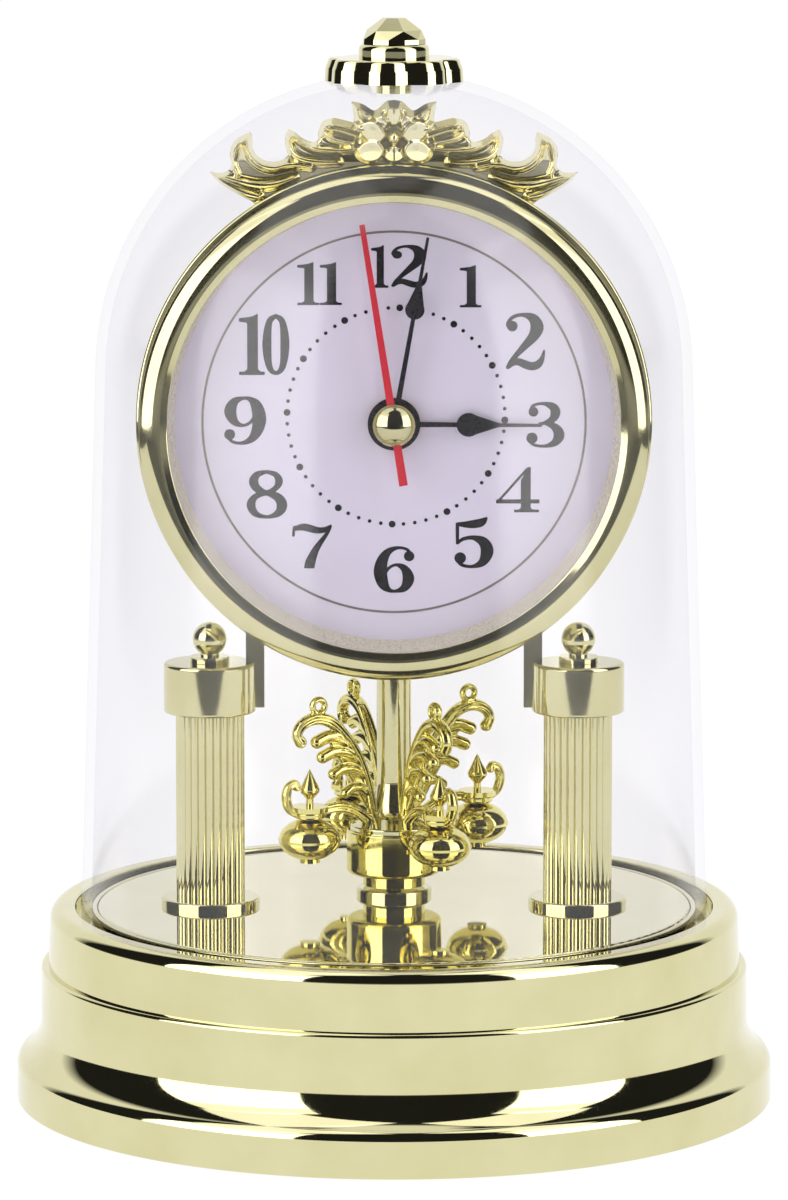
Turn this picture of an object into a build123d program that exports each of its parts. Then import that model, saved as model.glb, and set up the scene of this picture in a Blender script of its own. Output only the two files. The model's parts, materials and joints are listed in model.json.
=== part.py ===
from build123d import *
import math
import os

# Table clock with a turning pendulum under a clear dome.
# Sizes are in millimetres. Z is up, the dial faces -Y, and Z zero is the surface that the clock stands on.

# Fits
fixed_fit = 0.05
running_fit = 0.06
cut_overrun = 1.0

# Base shell, from the table upwards
foot_gap = 0.6
foot_wall_height = 6.2
foot_edge_round = 0.6
foot_lip_round = 0.35
shoulder_ledge = 0.45
shoulder_width = 3.05
shoulder_rise = 2.1
shoulder_round = 2.2
shoulder_height = 5.2
cove_round = 2.2
tier_low_height = 10.0
tier_low_draft = 0.5
tier_low_round = 0.6
tier_step = 1.1
tier_high_height = 9.4
tier_high_draft = 0.4
rim_round = 1.4
rim_inner_round = 0.5
rim_width = 4.0
base_wall = 2.2

# Deck and the groove that the dome stands in
groove_width = 3.5
groove_depth = 3.2
deck_recess = 0.3
deck_edge_round = 0.4
deck_ledge_width = 1.4

# Bottom cover, pads and screws
cover_thickness = 2.0
cover_gap = 0.3
pad_radius = 6.0
pad_thickness = 0.9
pad_margin = 1.5
pad_count = 4
boss_radius = 3.2
screw_radius = 1.3
screw_length = 9.0
screw_head_radius = 2.8
screw_head_height = 1.0

# Pillars, capitals and ball finials
pillar_spread_share = 0.75
pillar_y = 0.0
pillar_radius = 5.45
pillar_drop = 7.2
reed_count = 26
reed_depth = 0.4
pillar_foot_radius = 7.8
pillar_foot_height = 1.2
pillar_foot_round = 0.4
capital_radius = 6.4
capital_height = 7.4
capital_round = 0.6
capital_flat = 5.7
capital_block_depth = 5.6
finial_collar_radius = 3.1
finial_collar_height = 0.9
finial_neck_radius = 1.5
finial_ball_radius = 2.7
finial_ball_rise = 3.6
tie_radius = 1.2
tie_head_radius = 2.6
tie_head_height = 1.6

# Clock case, measured from the dial centre; depths count towards the viewer from the case's own middle plane
pendulum_space = 38.7
case_gap = 0.55
drum_wall = 1.9
drum_back_depth = -14.0
dial_front_depth = 10.0
dial_thickness = 0.6
dial_seat = 0.5
dial_lip = 0.1
leg_width = 2.9
leg_depth = 4.0
leg_tenon_radius = 1.2
leg_tenon_length = 2.5
back_boss_radius = 2.3
back_thickness = 1.6
back_window_margin = 2.0
back_window_round = 7.0
back_screw_radius = 0.9
back_screw_length = 6.0
back_screw_head_radius = 1.9
back_screw_head_height = 1.0

# Bezel, lens and the cream ring behind the lens
bezel_overhang = 0.6
bezel_height = 8.8
bezel_outer_round = 3.0
bezel_bead_width = 3.1
lens_overlap = 0.6
bezel_lip_drop = 0.9
lens_rebate = 1.4
lens_thickness = 1.0
dial_ring_margin = 0.4
dial_ring_ledge = 0.4
dial_ring_slope = 1.0
lens_gap = 6.5

# Leaf crest and the ring that carries it
crest_ring_width = 1.35
crest_ring_thickness = 2.5
crest_half_width_share = 0.732
crest_height_share = 0.255
crest_thickness = 2.2
crest_flower_thickness = 1.0
crest_boss_share = 0.14
crest_petal_share = 0.19
crest_petal_ring_share = 0.29
crest_petal_count = 7
crest_root_share = 0.24
crest_root_angle = 46.0

# Hands, at the time that the photograph shows
hand_thickness = 0.4
hand_pitch = 1.0
hand_gap = 1.8
hour_angle = 90.5
hour_length_share = 0.672
hour_blade_shares = (0.504, 0.748)
hour_blade_radius = 1.85
hour_hub_radius = 4.1
minute_angle = 10.2
minute_length_share = 0.866
minute_blade_shares = (0.615, 0.794)
minute_blade_radius = 1.5
minute_hub_radius = 2.6
hand_stem_width = 0.9
second_angle = -9.0
second_length_share = 0.924
second_tail_share = 0.278
second_tip_width = 1.2
second_tail_width = 2.0
cap_radius = 3.3
cap_height = 1.6

# Quartz movement
movement_corner = 4.5
movement_depth = 15.0
movement_plate = 1.4
movement_wall = 1.2
arbor_radius = 0.5
tube_wall = 0.44
bush_wall = 1.34
bush_length = 3.5
nut_radius = 4.0
nut_height = 1.4
pivot_depth = 0.7
wheel_thickness = 1.0
wheel_gap = 0.4
battery_radius = 7.1
battery_body_length = 49.5
battery_nub_length = 1.0
battery_nub_radius = 2.6
battery_gap = 0.7
train_gap = 0.63
bay_wall = 0.8
contact_width = 8.0
contact_thickness = 0.4
contact_spring_radius = 3.0
contact_spring_length = 1.15

# Wheel train: tooth counts and modules
pinion_teeth = 6
third_teeth = 45
minute_teeth = 48
fifth_teeth = 45
second_teeth = 24
cannon_teeth = 10
minute_work_teeth = 30
minute_work_pinion_teeth = 8
hour_teeth = 32
set_teeth = 20
minute_module = 0.34
third_module = 0.36
second_module = 0.62
fifth_module = 0.36
motion_module = 0.35
tooth_tip_share = 0.75
tooth_root_share = 1.15
tooth_root_half_share = 0.20
tooth_tip_half_share = 0.09
third_direction = 150.0
fifth_direction = 40.0
minute_work_direction = 100.0
set_direction = 90.0
rotor_direction = 60.0
rotor_radius = 2.6
rotor_thickness = 2.0
set_arbor_radius = 1.0
set_knob_radius = 5.0
set_knob_height = 3.0
set_knob_gap = 0.5
set_knob_grips = 18
set_knob_grip_depth = 0.5
stator_thickness = 1.2
stator_gap = 0.5
stator_ring_width = 2.0
coil_length = 13.0
coil_radius = 2.4
coil_gap = 0.37
coil_room = 0.6
coil_core_width = 2.0
coil_core_overhang = 2.0
post_radius = 0.9
board_width = 13.0
board_height = 13.0
board_thickness = 1.0
board_gap = 3.3
board_low = 9.0
crystal_radius = 1.0
crystal_length = 6.0

# Pendulum and its drive
pendulum_y = 8.0
cup_radius = 6.0
cup_height = 1.2
cup_round = 0.3
cup_spigot_radius = 2.6
pin_radius = 1.0
pin_play = 0.3
neck_radius = 4.95
neck_rise = 0.4
neck_height = 1.9
hub_radius = 7.6
hub_height = 7.1
hub_round = 0.9
stem_radius = 2.75
stem_gap = 1.0
flare_radius = 7.0
flare_edge = 0.8
flare_waist_rise = 4.0
flare_top_rise = 13.0
flare_waist_radius = 3.5
flare_top_round = 9.0
flare_waist_round = 3.4
spindle_radius = 0.75
spindle_socket = 8.0
drive_width = 18.0
drive_depth = 8.2
drive_top_gap = 0.8
magnet_radius = 2.8
magnet_height = 2.0
magnet_gap = 0.3
drive_floor = 2.6
drive_coil_radius = 3.6
drive_coil_height = 2.4
spindle_hole_radius = 2.0

# Scroll arms and balls of the pendulum
arm_count = 4
arm_first_direction = 28.4
arm_reach = 20.0
arm_headroom = 18.7
arm_thickness = 2.0
arm_ring_radius = 1.6
arm_ring_hole = 0.65
ball_ring_share = 0.722
ball_radius = 4.9
ball_half_height = 3.4
ball_drop = 0.4
ball_seam = 0.15
ball_seam_height = 0.4
ball_neck_radius = 1.1
ball_collar_radius = 2.5
ball_collar_height = 1.0
ball_saucer_radius = 3.0
ball_saucer_height = 0.8
ball_foot_radius = 1.6
ball_foot_height = 0.7
bud_radius = 1.75
bud_height = 6.0
bud_stalk_radius = 0.6
bud_low_share = 0.20
bud_wide_share = 0.42

# Dome, with its flower plate and knob
dome_wall = 1.6
dome_side_gap = 0.8
dome_flare = 2.85
dome_crown_share = 1.1485
dome_rise_share = 0.1726
flower_radius = 11.0
flower_lobes = 8
flower_lobe_radius = 3.3
flower_direction = 35.0
flower_draft = 0.9
flower_height = 2.4
flower_skirt = 1.6
knob_ring_radius = 5.5
knob_ring_height = 2.2
knob_ring_round = 0.9
gem_base_radius = 4.9
gem_mid_radius = 4.7
gem_table_radius = 1.7
gem_sides = 6
gem_direction = -10.0
gem_low_height = 0.8
gem_high_height = 3.2
dome_screw_radius = 1.5
dome_nut_radius = 2.8
dome_nut_height = 1.4

# Leaves of the crest: start, middle and end, each as shares of the crest's half width and height
# above the ring's top, and a width as a share of the crest's height
crest_leaf_shares = (
    ((0.46, -0.10), (0.80, -0.36), (1.00, -0.10), 0.34),
    ((0.80, -0.16), (0.842, 0.12), (0.765, 0.38), 0.19),
    ((0.44, 0.14), (0.69, -0.07), (0.85, 0.16), 0.22),
    ((0.34, 0.14), (0.52, 0.20), (0.580, 0.52), 0.30),
    ((0.17, 0.22), (0.335, 0.38), (0.400, 0.71), 0.36),
    ((0.08, 0.40), (0.205, 0.62), (0.243, 1.00), 0.34),
)

# Branches of a scroll arm: start, middle and end as shares of the arm's span from the stem and its rise
# above the hub, a width as a share of the reach, and the round tip's radius as a share of the reach
arm_branch_shares = (
    ((0.07, 0.02), (0.17, 0.46), (0.455, 0.90), 0.150, 0.0),
    ((0.27, 0.71), (0.57, 0.925), (0.867, 0.75), 0.140, 0.050),
    ((0.21, 0.64), (0.49, 0.735), (0.670, 0.635), 0.110, 0.042),
    ((0.18, 0.45), (0.385, 0.56), (0.519, 0.495), 0.105, 0.040),
    ((0.165, 0.29), (0.34, 0.385), (0.449, 0.320), 0.085, 0.036),
    ((0.10, 0.09), (0.385, 0.225), (0.693, 0.185), 0.110, 0.0),
    ((0.791, 0.185), (0.959, 0.29), (0.901, 0.475), 0.085, 0.050),
)
arm_ring_shares = (0.612, 1.045)

# Movement and case: the cell and the wheel train set the movement's size, and the movement sets the case's
layer_pitch = wheel_thickness + wheel_gap
minute_wheel_radius = minute_module * (minute_teeth / 2 + tooth_tip_share)
bay_top = -minute_wheel_radius - train_gap - bay_wall
battery_drop = battery_radius + fixed_fit - bay_top
battery_length = battery_body_length + battery_nub_length
movement_width = battery_length + 2 * (contact_spring_length + contact_thickness + movement_wall)


def polar(radius, angle):
    """Point at a radius and an angle in degrees."""
    return (radius * math.cos(math.radians(angle)), radius * math.sin(math.radians(angle)))


def centre_distance(teeth, mate_teeth, module):
    """Distance between the arbors of two meshing wheels."""
    return module * (teeth + mate_teeth) / 2


def beyond(place, radius, angle):
    """Place at a radius and an angle from another place."""
    step = polar(radius, angle)
    return (place[0] + step[0], place[1] + step[1])


arbor_place = (0.0, 0.0)
third_place = beyond(arbor_place, centre_distance(pinion_teeth, minute_teeth, minute_module), third_direction)
fifth_place = beyond(arbor_place, centre_distance(pinion_teeth, second_teeth, second_module), fifth_direction)
rotor_place = beyond(fifth_place, centre_distance(pinion_teeth, fifth_teeth, fifth_module), rotor_direction)
minute_work_distance = centre_distance(cannon_teeth, minute_work_teeth, motion_module)
minute_work_place = beyond(arbor_place, minute_work_distance, minute_work_direction)
set_place = beyond(minute_work_place, centre_distance(minute_work_teeth, set_teeth, motion_module), set_direction)

stator_hole_radius = rotor_radius + stator_gap
stator_ring_radius = stator_hole_radius + stator_ring_width
coil_rise = rotor_place[1] + stator_ring_radius + coil_gap + coil_radius
movement_reach_up = coil_rise + coil_radius + coil_room + movement_wall
movement_reach_down = battery_drop + battery_radius + battery_gap + movement_wall
movement_height = 2 * max(movement_reach_up, movement_reach_down)
movement_flat = (movement_width / 2 - movement_corner, movement_height / 2 - movement_corner)
board_left = movement_width / 2 - movement_wall - board_gap

drive_stack = drive_floor + 2 * magnet_gap + magnet_height + drive_coil_height
drum_inner_radius = max(
    math.hypot(*movement_flat) + movement_corner + case_gap,
    movement_height / 2 + drive_top_gap + drive_stack,
)
drum_radius = drum_inner_radius + drum_wall
bezel_radius = drum_radius + bezel_overhang
dial_radius = drum_inner_radius + dial_seat
dial_ring_radius = dial_radius - dial_ring_margin
lens_radius = dial_ring_radius - lens_rebate
bezel_lip_radius = lens_radius - lens_overlap
dial_ring_front_radius = lens_radius - dial_ring_ledge
dial_ring_back_radius = dial_ring_front_radius - dial_ring_slope
crest_half_width = crest_half_width_share * drum_radius
crest_height = crest_height_share * drum_radius
crest_boss_radius = crest_boss_share * crest_height
crest_petal_radius = crest_petal_share * crest_height
crest_petal_ring = crest_petal_ring_share * crest_height
crest_root_width = crest_root_share * crest_height

# Hands
hour_length = hour_length_share * dial_ring_back_radius
minute_length = minute_length_share * dial_ring_back_radius
second_length = second_length_share * dial_ring_back_radius
second_tail = second_tail_share * dial_ring_back_radius

# Dome, which goes over the case, and base, which goes round the dome
dome_crown_radius = bezel_radius * dome_crown_share + dome_wall
dome_foot_radius = dome_crown_radius + dome_flare
rim_inner_radius = dome_foot_radius + dome_side_gap
rim_radius = rim_inner_radius + rim_width
tier_high_radius = rim_radius + tier_high_draft
tier_low_radius = tier_high_radius + tier_step + tier_low_draft
shoulder_radius = tier_low_radius + shoulder_width
foot_radius = shoulder_radius + shoulder_ledge
deck_radius = rim_inner_radius - groove_width
ledge_radius = deck_radius - deck_ledge_width
foot_inner_radius = foot_radius - base_wall
cover_radius = foot_inner_radius - cover_gap
boss_ring = deck_radius

# Levels of the base
foot_top = foot_gap + foot_wall_height
shoulder_low = foot_top + shoulder_rise
shoulder_top = foot_top + shoulder_height
tier_low_top = shoulder_top + tier_low_height
rim_top = tier_low_top + tier_high_height
groove_floor = rim_top - groove_depth
deck_top = rim_top - deck_recess
ledge_low = groove_floor - base_wall
cover_low = pad_thickness
cover_top = cover_low + cover_thickness

# Levels of the pillars, the dial and the dome
pillar_x = pillar_spread_share * drum_radius
capital_low = deck_top + pendulum_space - pillar_drop
capital_top = capital_low + capital_height
dial_height = deck_top + pendulum_space + bezel_radius
crown_height = dial_height + dome_rise_share * bezel_radius
dome_top = crown_height + dome_crown_radius

# Depths of the case
dial_back_depth = dial_front_depth - dial_thickness
back_front_depth = drum_back_depth + back_thickness
lens_depth = dial_front_depth + lens_gap
hand_first_depth = dial_front_depth + hand_gap
back_boss_ring = drum_inner_radius - back_boss_radius
lens_front_depth = lens_depth + lens_thickness
crest_ring_inner = drum_radius + fixed_fit
crest_ring_radius = crest_ring_inner + crest_ring_width
crest_back_depth = dial_front_depth - crest_ring_thickness

# Depths and bores of the movement
plate_back_depth = dial_back_depth - movement_plate
movement_back_depth = dial_back_depth - movement_depth
train_back_depth = movement_back_depth + movement_wall
train_front_depth = plate_back_depth - wheel_gap
pivot_front_depth = plate_back_depth + pivot_depth
pivot_back_depth = train_back_depth - pivot_depth
minute_bore = arbor_radius + running_fit
minute_tube_radius = minute_bore + tube_wall
hour_bore = minute_tube_radius + running_fit
hour_tube_radius = hour_bore + tube_wall
bush_bore = hour_tube_radius + running_fit
bush_radius = bush_bore + bush_wall
bush_front_depth = plate_back_depth + bush_length
battery_depth = plate_back_depth - battery_radius - fixed_fit

# Levels of the pendulum and its drive
cup_top = deck_top + cup_height
neck_low = cup_top + neck_rise
hub_low = neck_low + neck_height
hub_top = hub_low + hub_height
stem_top = dial_height - drum_radius - stem_gap
arm_span = arm_reach - stem_radius
arm_rise = pendulum_space - arm_headroom
ball_ring = stem_radius + ball_ring_share * arm_span
ball_height = hub_top - ball_drop
ball_top = ball_height + ball_half_height
collar_low = ball_top + running_fit
collar_top = collar_low + ball_collar_height
drive_low = dial_height - drum_inner_radius
drive_top = dial_height - movement_height / 2 - drive_top_gap
drive_floor_top = drive_low + drive_floor
magnet_low = drive_floor_top + magnet_gap
drive_shelf = magnet_low + magnet_height + magnet_gap

# The clock face has its own frame: X to the right, Y up, Z towards the viewer, centred on the arbor
face_frame = Plane(origin=(0, 0, dial_height), x_dir=(1, 0, 0), z_dir=(0, -1, 0))
pendulum_place = Pos(0, pendulum_y, 0)


def ring_places(radius, count, first=0.0):
    """Evenly spaced places on a circle."""
    return [Pos(*polar(radius, first + 360 * i / count)) for i in range(count)]


def turned(*corners):
    """Solid of revolution about Z from corners of (radius, height) or (radius, height, rounding)."""
    points = [corner[:2] for corner in corners]
    roundings = [corner[2] if len(corner) > 2 else 0 for corner in corners]
    outline = FilletPolyline(*points, radius=roundings, close=True)
    return revolve(Plane.XZ * make_face(outline.edges()), Axis.Z)


def rod(radius, low, high):
    """Upright cylinder between two heights."""
    return Pos(0, 0, low) * Cylinder(radius, high - low, align=(Align.CENTER, Align.CENTER, Align.MIN))


def pipe(radius, bore, low, high):
    """Upright tube between two heights."""
    return turned((bore, low), (radius, low), (radius, high), (bore, high))


def prism(face, low, high):
    """A flat face in XY raised between two heights."""
    return Pos(0, 0, low) * extrude(face, high - low, dir=(0, 0, 1))


def block(x_range, y_range, z_range):
    """Box between named limits."""
    low = Vector(x_range[0], y_range[0], z_range[0])
    high = Vector(x_range[1], y_range[1], z_range[1])
    size = high - low
    return Pos(*low) * Box(size.X, size.Y, size.Z, align=(Align.MIN, Align.MIN, Align.MIN))


def group(solids):
    """Separate solids kept together in one node."""
    return Compound(children=list(solids))


def leaf(start, middle, end, width):
    """Pointed leaf whose bent centre line runs through three points."""
    first, centre, last = Vector(*start), Vector(*middle), Vector(*end)
    half = (last - first).normalized().rotate(Axis.Z, 90) * (width / 2)
    edges = [ThreePointArc(first, centre + half, last), ThreePointArc(last, centre - half, first)]
    return make_face(edges)


def gear_face(teeth, module, phase):
    """Straight-sided wheel teeth; phase is the direction of one tooth's middle."""
    pitch_angle = 360 / teeth
    tip = module * (teeth / 2 + tooth_tip_share)
    root = module * (teeth / 2 - tooth_root_share)
    sides = (
        (root, -tooth_root_half_share),
        (tip, -tooth_tip_half_share),
        (tip, tooth_tip_half_share),
        (root, tooth_root_half_share),
    )
    points = []
    for i in range(teeth):
        for radius, offset_share in sides:
            points.append(polar(radius, phase + (i + offset_share) * pitch_angle))
    return make_face(Polyline(*points, close=True))


def mate_phase(teeth, phase, mate_teeth, direction):
    """Phase of a wheel that lies in this direction from another and meshes with it."""
    tooth_place = (direction - phase) * teeth / 360
    return direction + 180 - (0.5 - tooth_place) * 360 / mate_teeth


def layer(index):
    """Back and front depth of a wheel layer, counted from the dial side."""
    front = train_front_depth - index * layer_pitch
    return front - wheel_thickness, front


# Layers of the wheels
HOUR_LAYER, CANNON_LAYER, MINUTE_LAYER, THIRD_LAYER, SECOND_LAYER, FIFTH_LAYER = range(6)
rotor_front_depth = layer(FIFTH_LAYER)[0] - wheel_gap
stator_front_depth = rotor_front_depth - (rotor_thickness - stator_thickness) / 2
stator_back_depth = stator_front_depth - stator_thickness


# Base


def base_shell():
    """Stepped plated shell with the rim, the dome groove and four screw bosses."""
    tier_low_in = tier_low_radius - tier_low_draft
    inner_low = tier_low_in - base_wall
    inner_high = rim_radius - base_wall
    shell = turned(
        (foot_inner_radius, foot_gap),
        (foot_radius, foot_gap, foot_edge_round),
        (foot_radius, foot_top, foot_lip_round),
        (shoulder_radius, foot_top),
        (shoulder_radius, shoulder_low, shoulder_round),
        (tier_low_radius, shoulder_top, cove_round),
        (tier_low_in, tier_low_top, tier_low_round),
        (tier_high_radius, tier_low_top),
        (rim_radius, rim_top, rim_round),
        (rim_inner_radius, rim_top, rim_inner_round),
        (rim_inner_radius, groove_floor),
        (ledge_radius, groove_floor),
        (ledge_radius, ledge_low),
        (inner_high, ledge_low),
        (inner_high, tier_low_top - base_wall),
        (inner_low, tier_low_top - base_wall),
        (inner_low, shoulder_top - base_wall),
        (foot_inner_radius, foot_top - base_wall),
    )
    for place in ring_places(boss_ring, pad_count):
        shell += place * rod(boss_radius, cover_top, ledge_low)
    for place in ring_places(boss_ring, pad_count):
        shell -= place * rod(screw_radius + fixed_fit, cover_low, cover_low + screw_length)
    return shell


def base_deck():
    """Mirror plate that carries the pillars and the guide cup."""
    deck = turned(
        (0, groove_floor),
        (deck_radius, groove_floor),
        (deck_radius, deck_top, deck_edge_round),
        (0, deck_top),
    )
    deck -= pendulum_place * rod(cup_spigot_radius + fixed_fit, groove_floor, deck_top)
    for side in (-1, 1):
        deck -= Pos(side * pillar_x, pillar_y) * rod(tie_radius + fixed_fit, groove_floor, deck_top)
    return deck


def bottom_cover():
    """Plate that closes the base, with sunk seats for its screws."""
    cover = rod(cover_radius, cover_low, cover_top)
    for place in ring_places(boss_ring, pad_count):
        cover -= place * rod(screw_radius + fixed_fit, cover_low, cover_top)
        cover -= place * rod(screw_head_radius + fixed_fit, cover_low, cover_low + screw_head_height)
    return cover


def foot_pads():
    """Round rubber pads between the cover and the table."""
    pad_ring = cover_radius - pad_radius - pad_margin
    places = ring_places(pad_ring, pad_count, first=180 / pad_count)
    return group(place * rod(pad_radius, 0, pad_thickness) for place in places)


def cover_screws():
    """Screws up through the cover into the shell's bosses."""
    head_top = cover_low + screw_head_height
    screw = turned(
        (0, cover_low),
        (screw_head_radius, cover_low),
        (screw_head_radius, head_top),
        (screw_radius, head_top),
        (screw_radius, cover_low + screw_length),
        (0, cover_low + screw_length),
    )
    return group(place * screw for place in ring_places(boss_ring, pad_count))


def guide_cup():
    """Turned cup on the deck that steadies the pendulum's lower pin."""
    bore = pin_radius + pin_play
    cup = turned(
        (bore, groove_floor),
        (cup_spigot_radius, groove_floor),
        (cup_spigot_radius, deck_top),
        (cup_radius, deck_top),
        (cup_radius, cup_top, cup_round),
        (bore, cup_top),
    )
    return pendulum_place * cup


# Pillars


def pillar():
    """Reeded hollow column on a round foot."""
    step = 360 / reed_count
    root = pillar_radius - reed_depth
    reeds = [
        ThreePointArc(
            polar(root, i * step),
            polar(pillar_radius, (i + 0.5) * step),
            polar(root, (i + 1) * step),
        )
        for i in range(reed_count)
    ]
    foot_top_height = deck_top + pillar_foot_height
    foot = turned(
        (0, deck_top),
        (pillar_foot_radius, deck_top),
        (pillar_foot_radius, foot_top_height, pillar_foot_round),
        (0, foot_top_height),
    )
    column = foot + prism(make_face(reeds), foot_top_height, capital_low)
    return column - rod(tie_radius + fixed_fit, deck_top, capital_low)


def capital(side):
    """Round-fronted block on a pillar, with a flat and a socket for the case's leg on its inner side."""
    inward = -side
    plan = Circle(capital_radius) + Pos(inward * capital_flat / 2, capital_block_depth / 2) * Rectangle(
        capital_flat, capital_block_depth
    )
    solid = prism(plan, capital_low, capital_top)
    inner_side = Rectangle(capital_radius, capital_radius * 3, align=(Align.MIN, Align.CENTER))
    trim = prism(Pos(capital_flat) * inner_side, capital_low, capital_top)
    solid -= trim if inward > 0 else mirror(trim, Plane.YZ)
    solid = fillet(solid.faces().sort_by(Axis.Z)[-1].outer_wire().edges(), capital_round)
    solid -= rod(tie_radius + fixed_fit, capital_low, capital_top)
    socket = Rot(0, 90, 0) * rod(leg_tenon_radius + fixed_fit, 0, leg_tenon_length + fixed_fit)
    socket = socket if inward < 0 else mirror(socket, Plane.YZ)
    return solid - Pos(inward * capital_flat, leg_depth / 2, (capital_low + capital_top) / 2) * socket


def pillar_finial():
    """Collar, neck and ball, drilled for the tie screw."""
    ball_centre = capital_top + finial_ball_rise
    collar_top_height = capital_top + finial_collar_height
    solid = rod(finial_collar_radius, capital_top, collar_top_height)
    solid += rod(finial_neck_radius, collar_top_height, ball_centre)
    solid += Pos(0, 0, ball_centre) * Sphere(finial_ball_radius)
    return solid - rod(tie_radius + fixed_fit, capital_top, collar_top_height)


def tie_screw():
    """Long screw from under the deck into the finial."""
    tip = capital_top + finial_collar_height - fixed_fit
    head_low = groove_floor - tie_head_height
    return turned(
        (0, head_low),
        (tie_head_radius, head_low),
        (tie_head_radius, groove_floor),
        (tie_radius, groove_floor),
        (tie_radius, tip),
        (0, tip),
    )


# Clock case


def case_drum():
    """Round case with a seat for the dial, three bosses for the back and two legs to the capitals."""
    drum = turned(
        (drum_inner_radius, drum_back_depth),
        (drum_radius, drum_back_depth),
        (drum_radius, dial_front_depth),
        (dial_radius + dial_lip, dial_front_depth),
        (dial_radius + dial_lip, dial_back_depth),
        (drum_inner_radius, dial_back_depth),
    )
    for angle in (0, 90, 180):
        boss = rod(back_boss_radius, back_front_depth, dial_back_depth - movement_plate)
        hole = rod(back_screw_radius + fixed_fit, back_front_depth, back_front_depth + back_screw_length)
        drum += Pos(*polar(back_boss_ring, angle)) * boss
        drum -= Pos(*polar(back_boss_ring, angle)) * hole
    drum = face_frame * drum
    drum -= pendulum_place * rod(spindle_hole_radius, stem_top, drive_floor_top)
    drum_core = face_frame * rod(drum_radius - drum_wall / 2, drum_back_depth, dial_front_depth)
    for side in (-1, 1):
        outer_x = side * (pillar_x - capital_flat)
        inner_x = outer_x - side * leg_width
        x_range = (min(outer_x, inner_x), max(outer_x, inner_x))
        leg = block(x_range, (pillar_y, pillar_y + leg_depth), (capital_low, dial_height)) - drum_core
        middle = Pos(outer_x, pillar_y + leg_depth / 2, (capital_low + capital_top) / 2)
        tenon = Rot(0, 90, 0) * rod(leg_tenon_radius, 0, leg_tenon_length)
        leg += middle * (tenon if side > 0 else mirror(tenon, Plane.YZ))
        drum += leg
    return drum


def bezel():
    """Rounded ring that holds the lens in front of the dial."""
    front = dial_front_depth + bezel_height
    bead_in = bezel_radius - bezel_bead_width
    lip_front = lens_front_depth + bezel_lip_drop
    ring = turned(
        (dial_ring_radius + fixed_fit, dial_front_depth),
        (bezel_radius, dial_front_depth),
        (bezel_radius, front, bezel_outer_round),
        (bead_in, front, bezel_outer_round / 6),
        (bezel_lip_radius, lip_front),
        (bezel_lip_radius, lens_front_depth),
        (lens_radius + fixed_fit, lens_front_depth),
        (lens_radius + fixed_fit, lens_depth),
        (dial_ring_radius + fixed_fit, lens_depth),
    )
    return face_frame * ring


def lens():
    """Flat clear disc."""
    return face_frame * rod(lens_radius, lens_depth, lens_front_depth)


def dial_ring():
    """Cone between the lens and the dial's edge."""
    ring = turned(
        (dial_ring_back_radius, dial_front_depth),
        (dial_ring_radius, dial_front_depth),
        (dial_ring_radius, lens_depth),
        (dial_ring_front_radius, lens_depth),
    )
    return face_frame * ring


def dial():
    """Round dial plate with the hole for the movement's bush."""
    return face_frame * pipe(dial_radius, bush_radius + fixed_fit, dial_back_depth, dial_front_depth)


def crest():
    """Carrying ring with its row of leaves and the flower in the middle."""
    front = crest_back_depth + crest_thickness
    ring = pipe(crest_ring_radius, crest_ring_inner, crest_back_depth, dial_front_depth)
    plan = Sketch()
    for start, middle, end, width_share in crest_leaf_shares:
        points = [
            (u_share * crest_half_width, crest_ring_radius + v_share * crest_height)
            for u_share, v_share in (start, middle, end)
        ]
        right = leaf(*points, width_share * crest_height)
        plan += right
        plan += mirror(right, Plane.YZ)
    root_outer = crest_ring_radius + crest_root_width
    half = crest_root_angle / 2
    sector = Polyline(
        (0, 0),
        polar(root_outer * 2, 90 - half),
        polar(root_outer * 2, 90 + half),
        close=True,
    )
    plan += Circle(root_outer) & make_face(sector)
    plan -= Circle(bezel_radius + fixed_fit)
    flower_height = crest_ring_radius + crest_petal_ring + crest_petal_radius / 2
    flower = Circle(crest_petal_ring)
    for place in ring_places(crest_petal_ring, crest_petal_count, first=90):
        flower += place * Circle(crest_petal_radius)
    flower = Pos(0, flower_height) * flower - Circle(bezel_radius + fixed_fit)
    leaves = prism(plan, crest_back_depth, front)
    leaves += prism(flower, crest_back_depth, front + crest_flower_thickness)
    leaves += Pos(0, flower_height, front + crest_flower_thickness) * Sphere(crest_boss_radius)
    return face_frame * (ring + leaves)


def case_back():
    """Back plate with a window for the cell and the set knob."""
    plate = rod(drum_inner_radius - fixed_fit, drum_back_depth, back_front_depth)
    window_width = movement_width - 2 * back_window_margin
    window_height = movement_height - 2 * back_window_margin
    window = RectangleRounded(window_width, window_height, back_window_round)
    plate -= prism(window, drum_back_depth, back_front_depth)
    for angle in (0, 90, 180):
        hole = rod(back_screw_radius + fixed_fit, drum_back_depth, back_front_depth)
        plate -= Pos(*polar(back_boss_ring, angle)) * hole
    return face_frame * plate


def back_screws():
    """Three screws that hold the back to the drum's bosses."""
    tip = back_front_depth + back_screw_length - back_thickness
    screw = rod(back_screw_head_radius, drum_back_depth - back_screw_head_height, drum_back_depth)
    screw += rod(back_screw_radius, drum_back_depth, tip)
    return group(face_frame * Pos(*polar(back_boss_ring, angle)) * screw for angle in (0, 90, 180))


# Movement


def movement_plan(inset):
    """Outline of the movement, moved inwards by an inset."""
    return RectangleRounded(movement_width - 2 * inset, movement_height - 2 * inset, movement_corner - inset)


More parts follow.
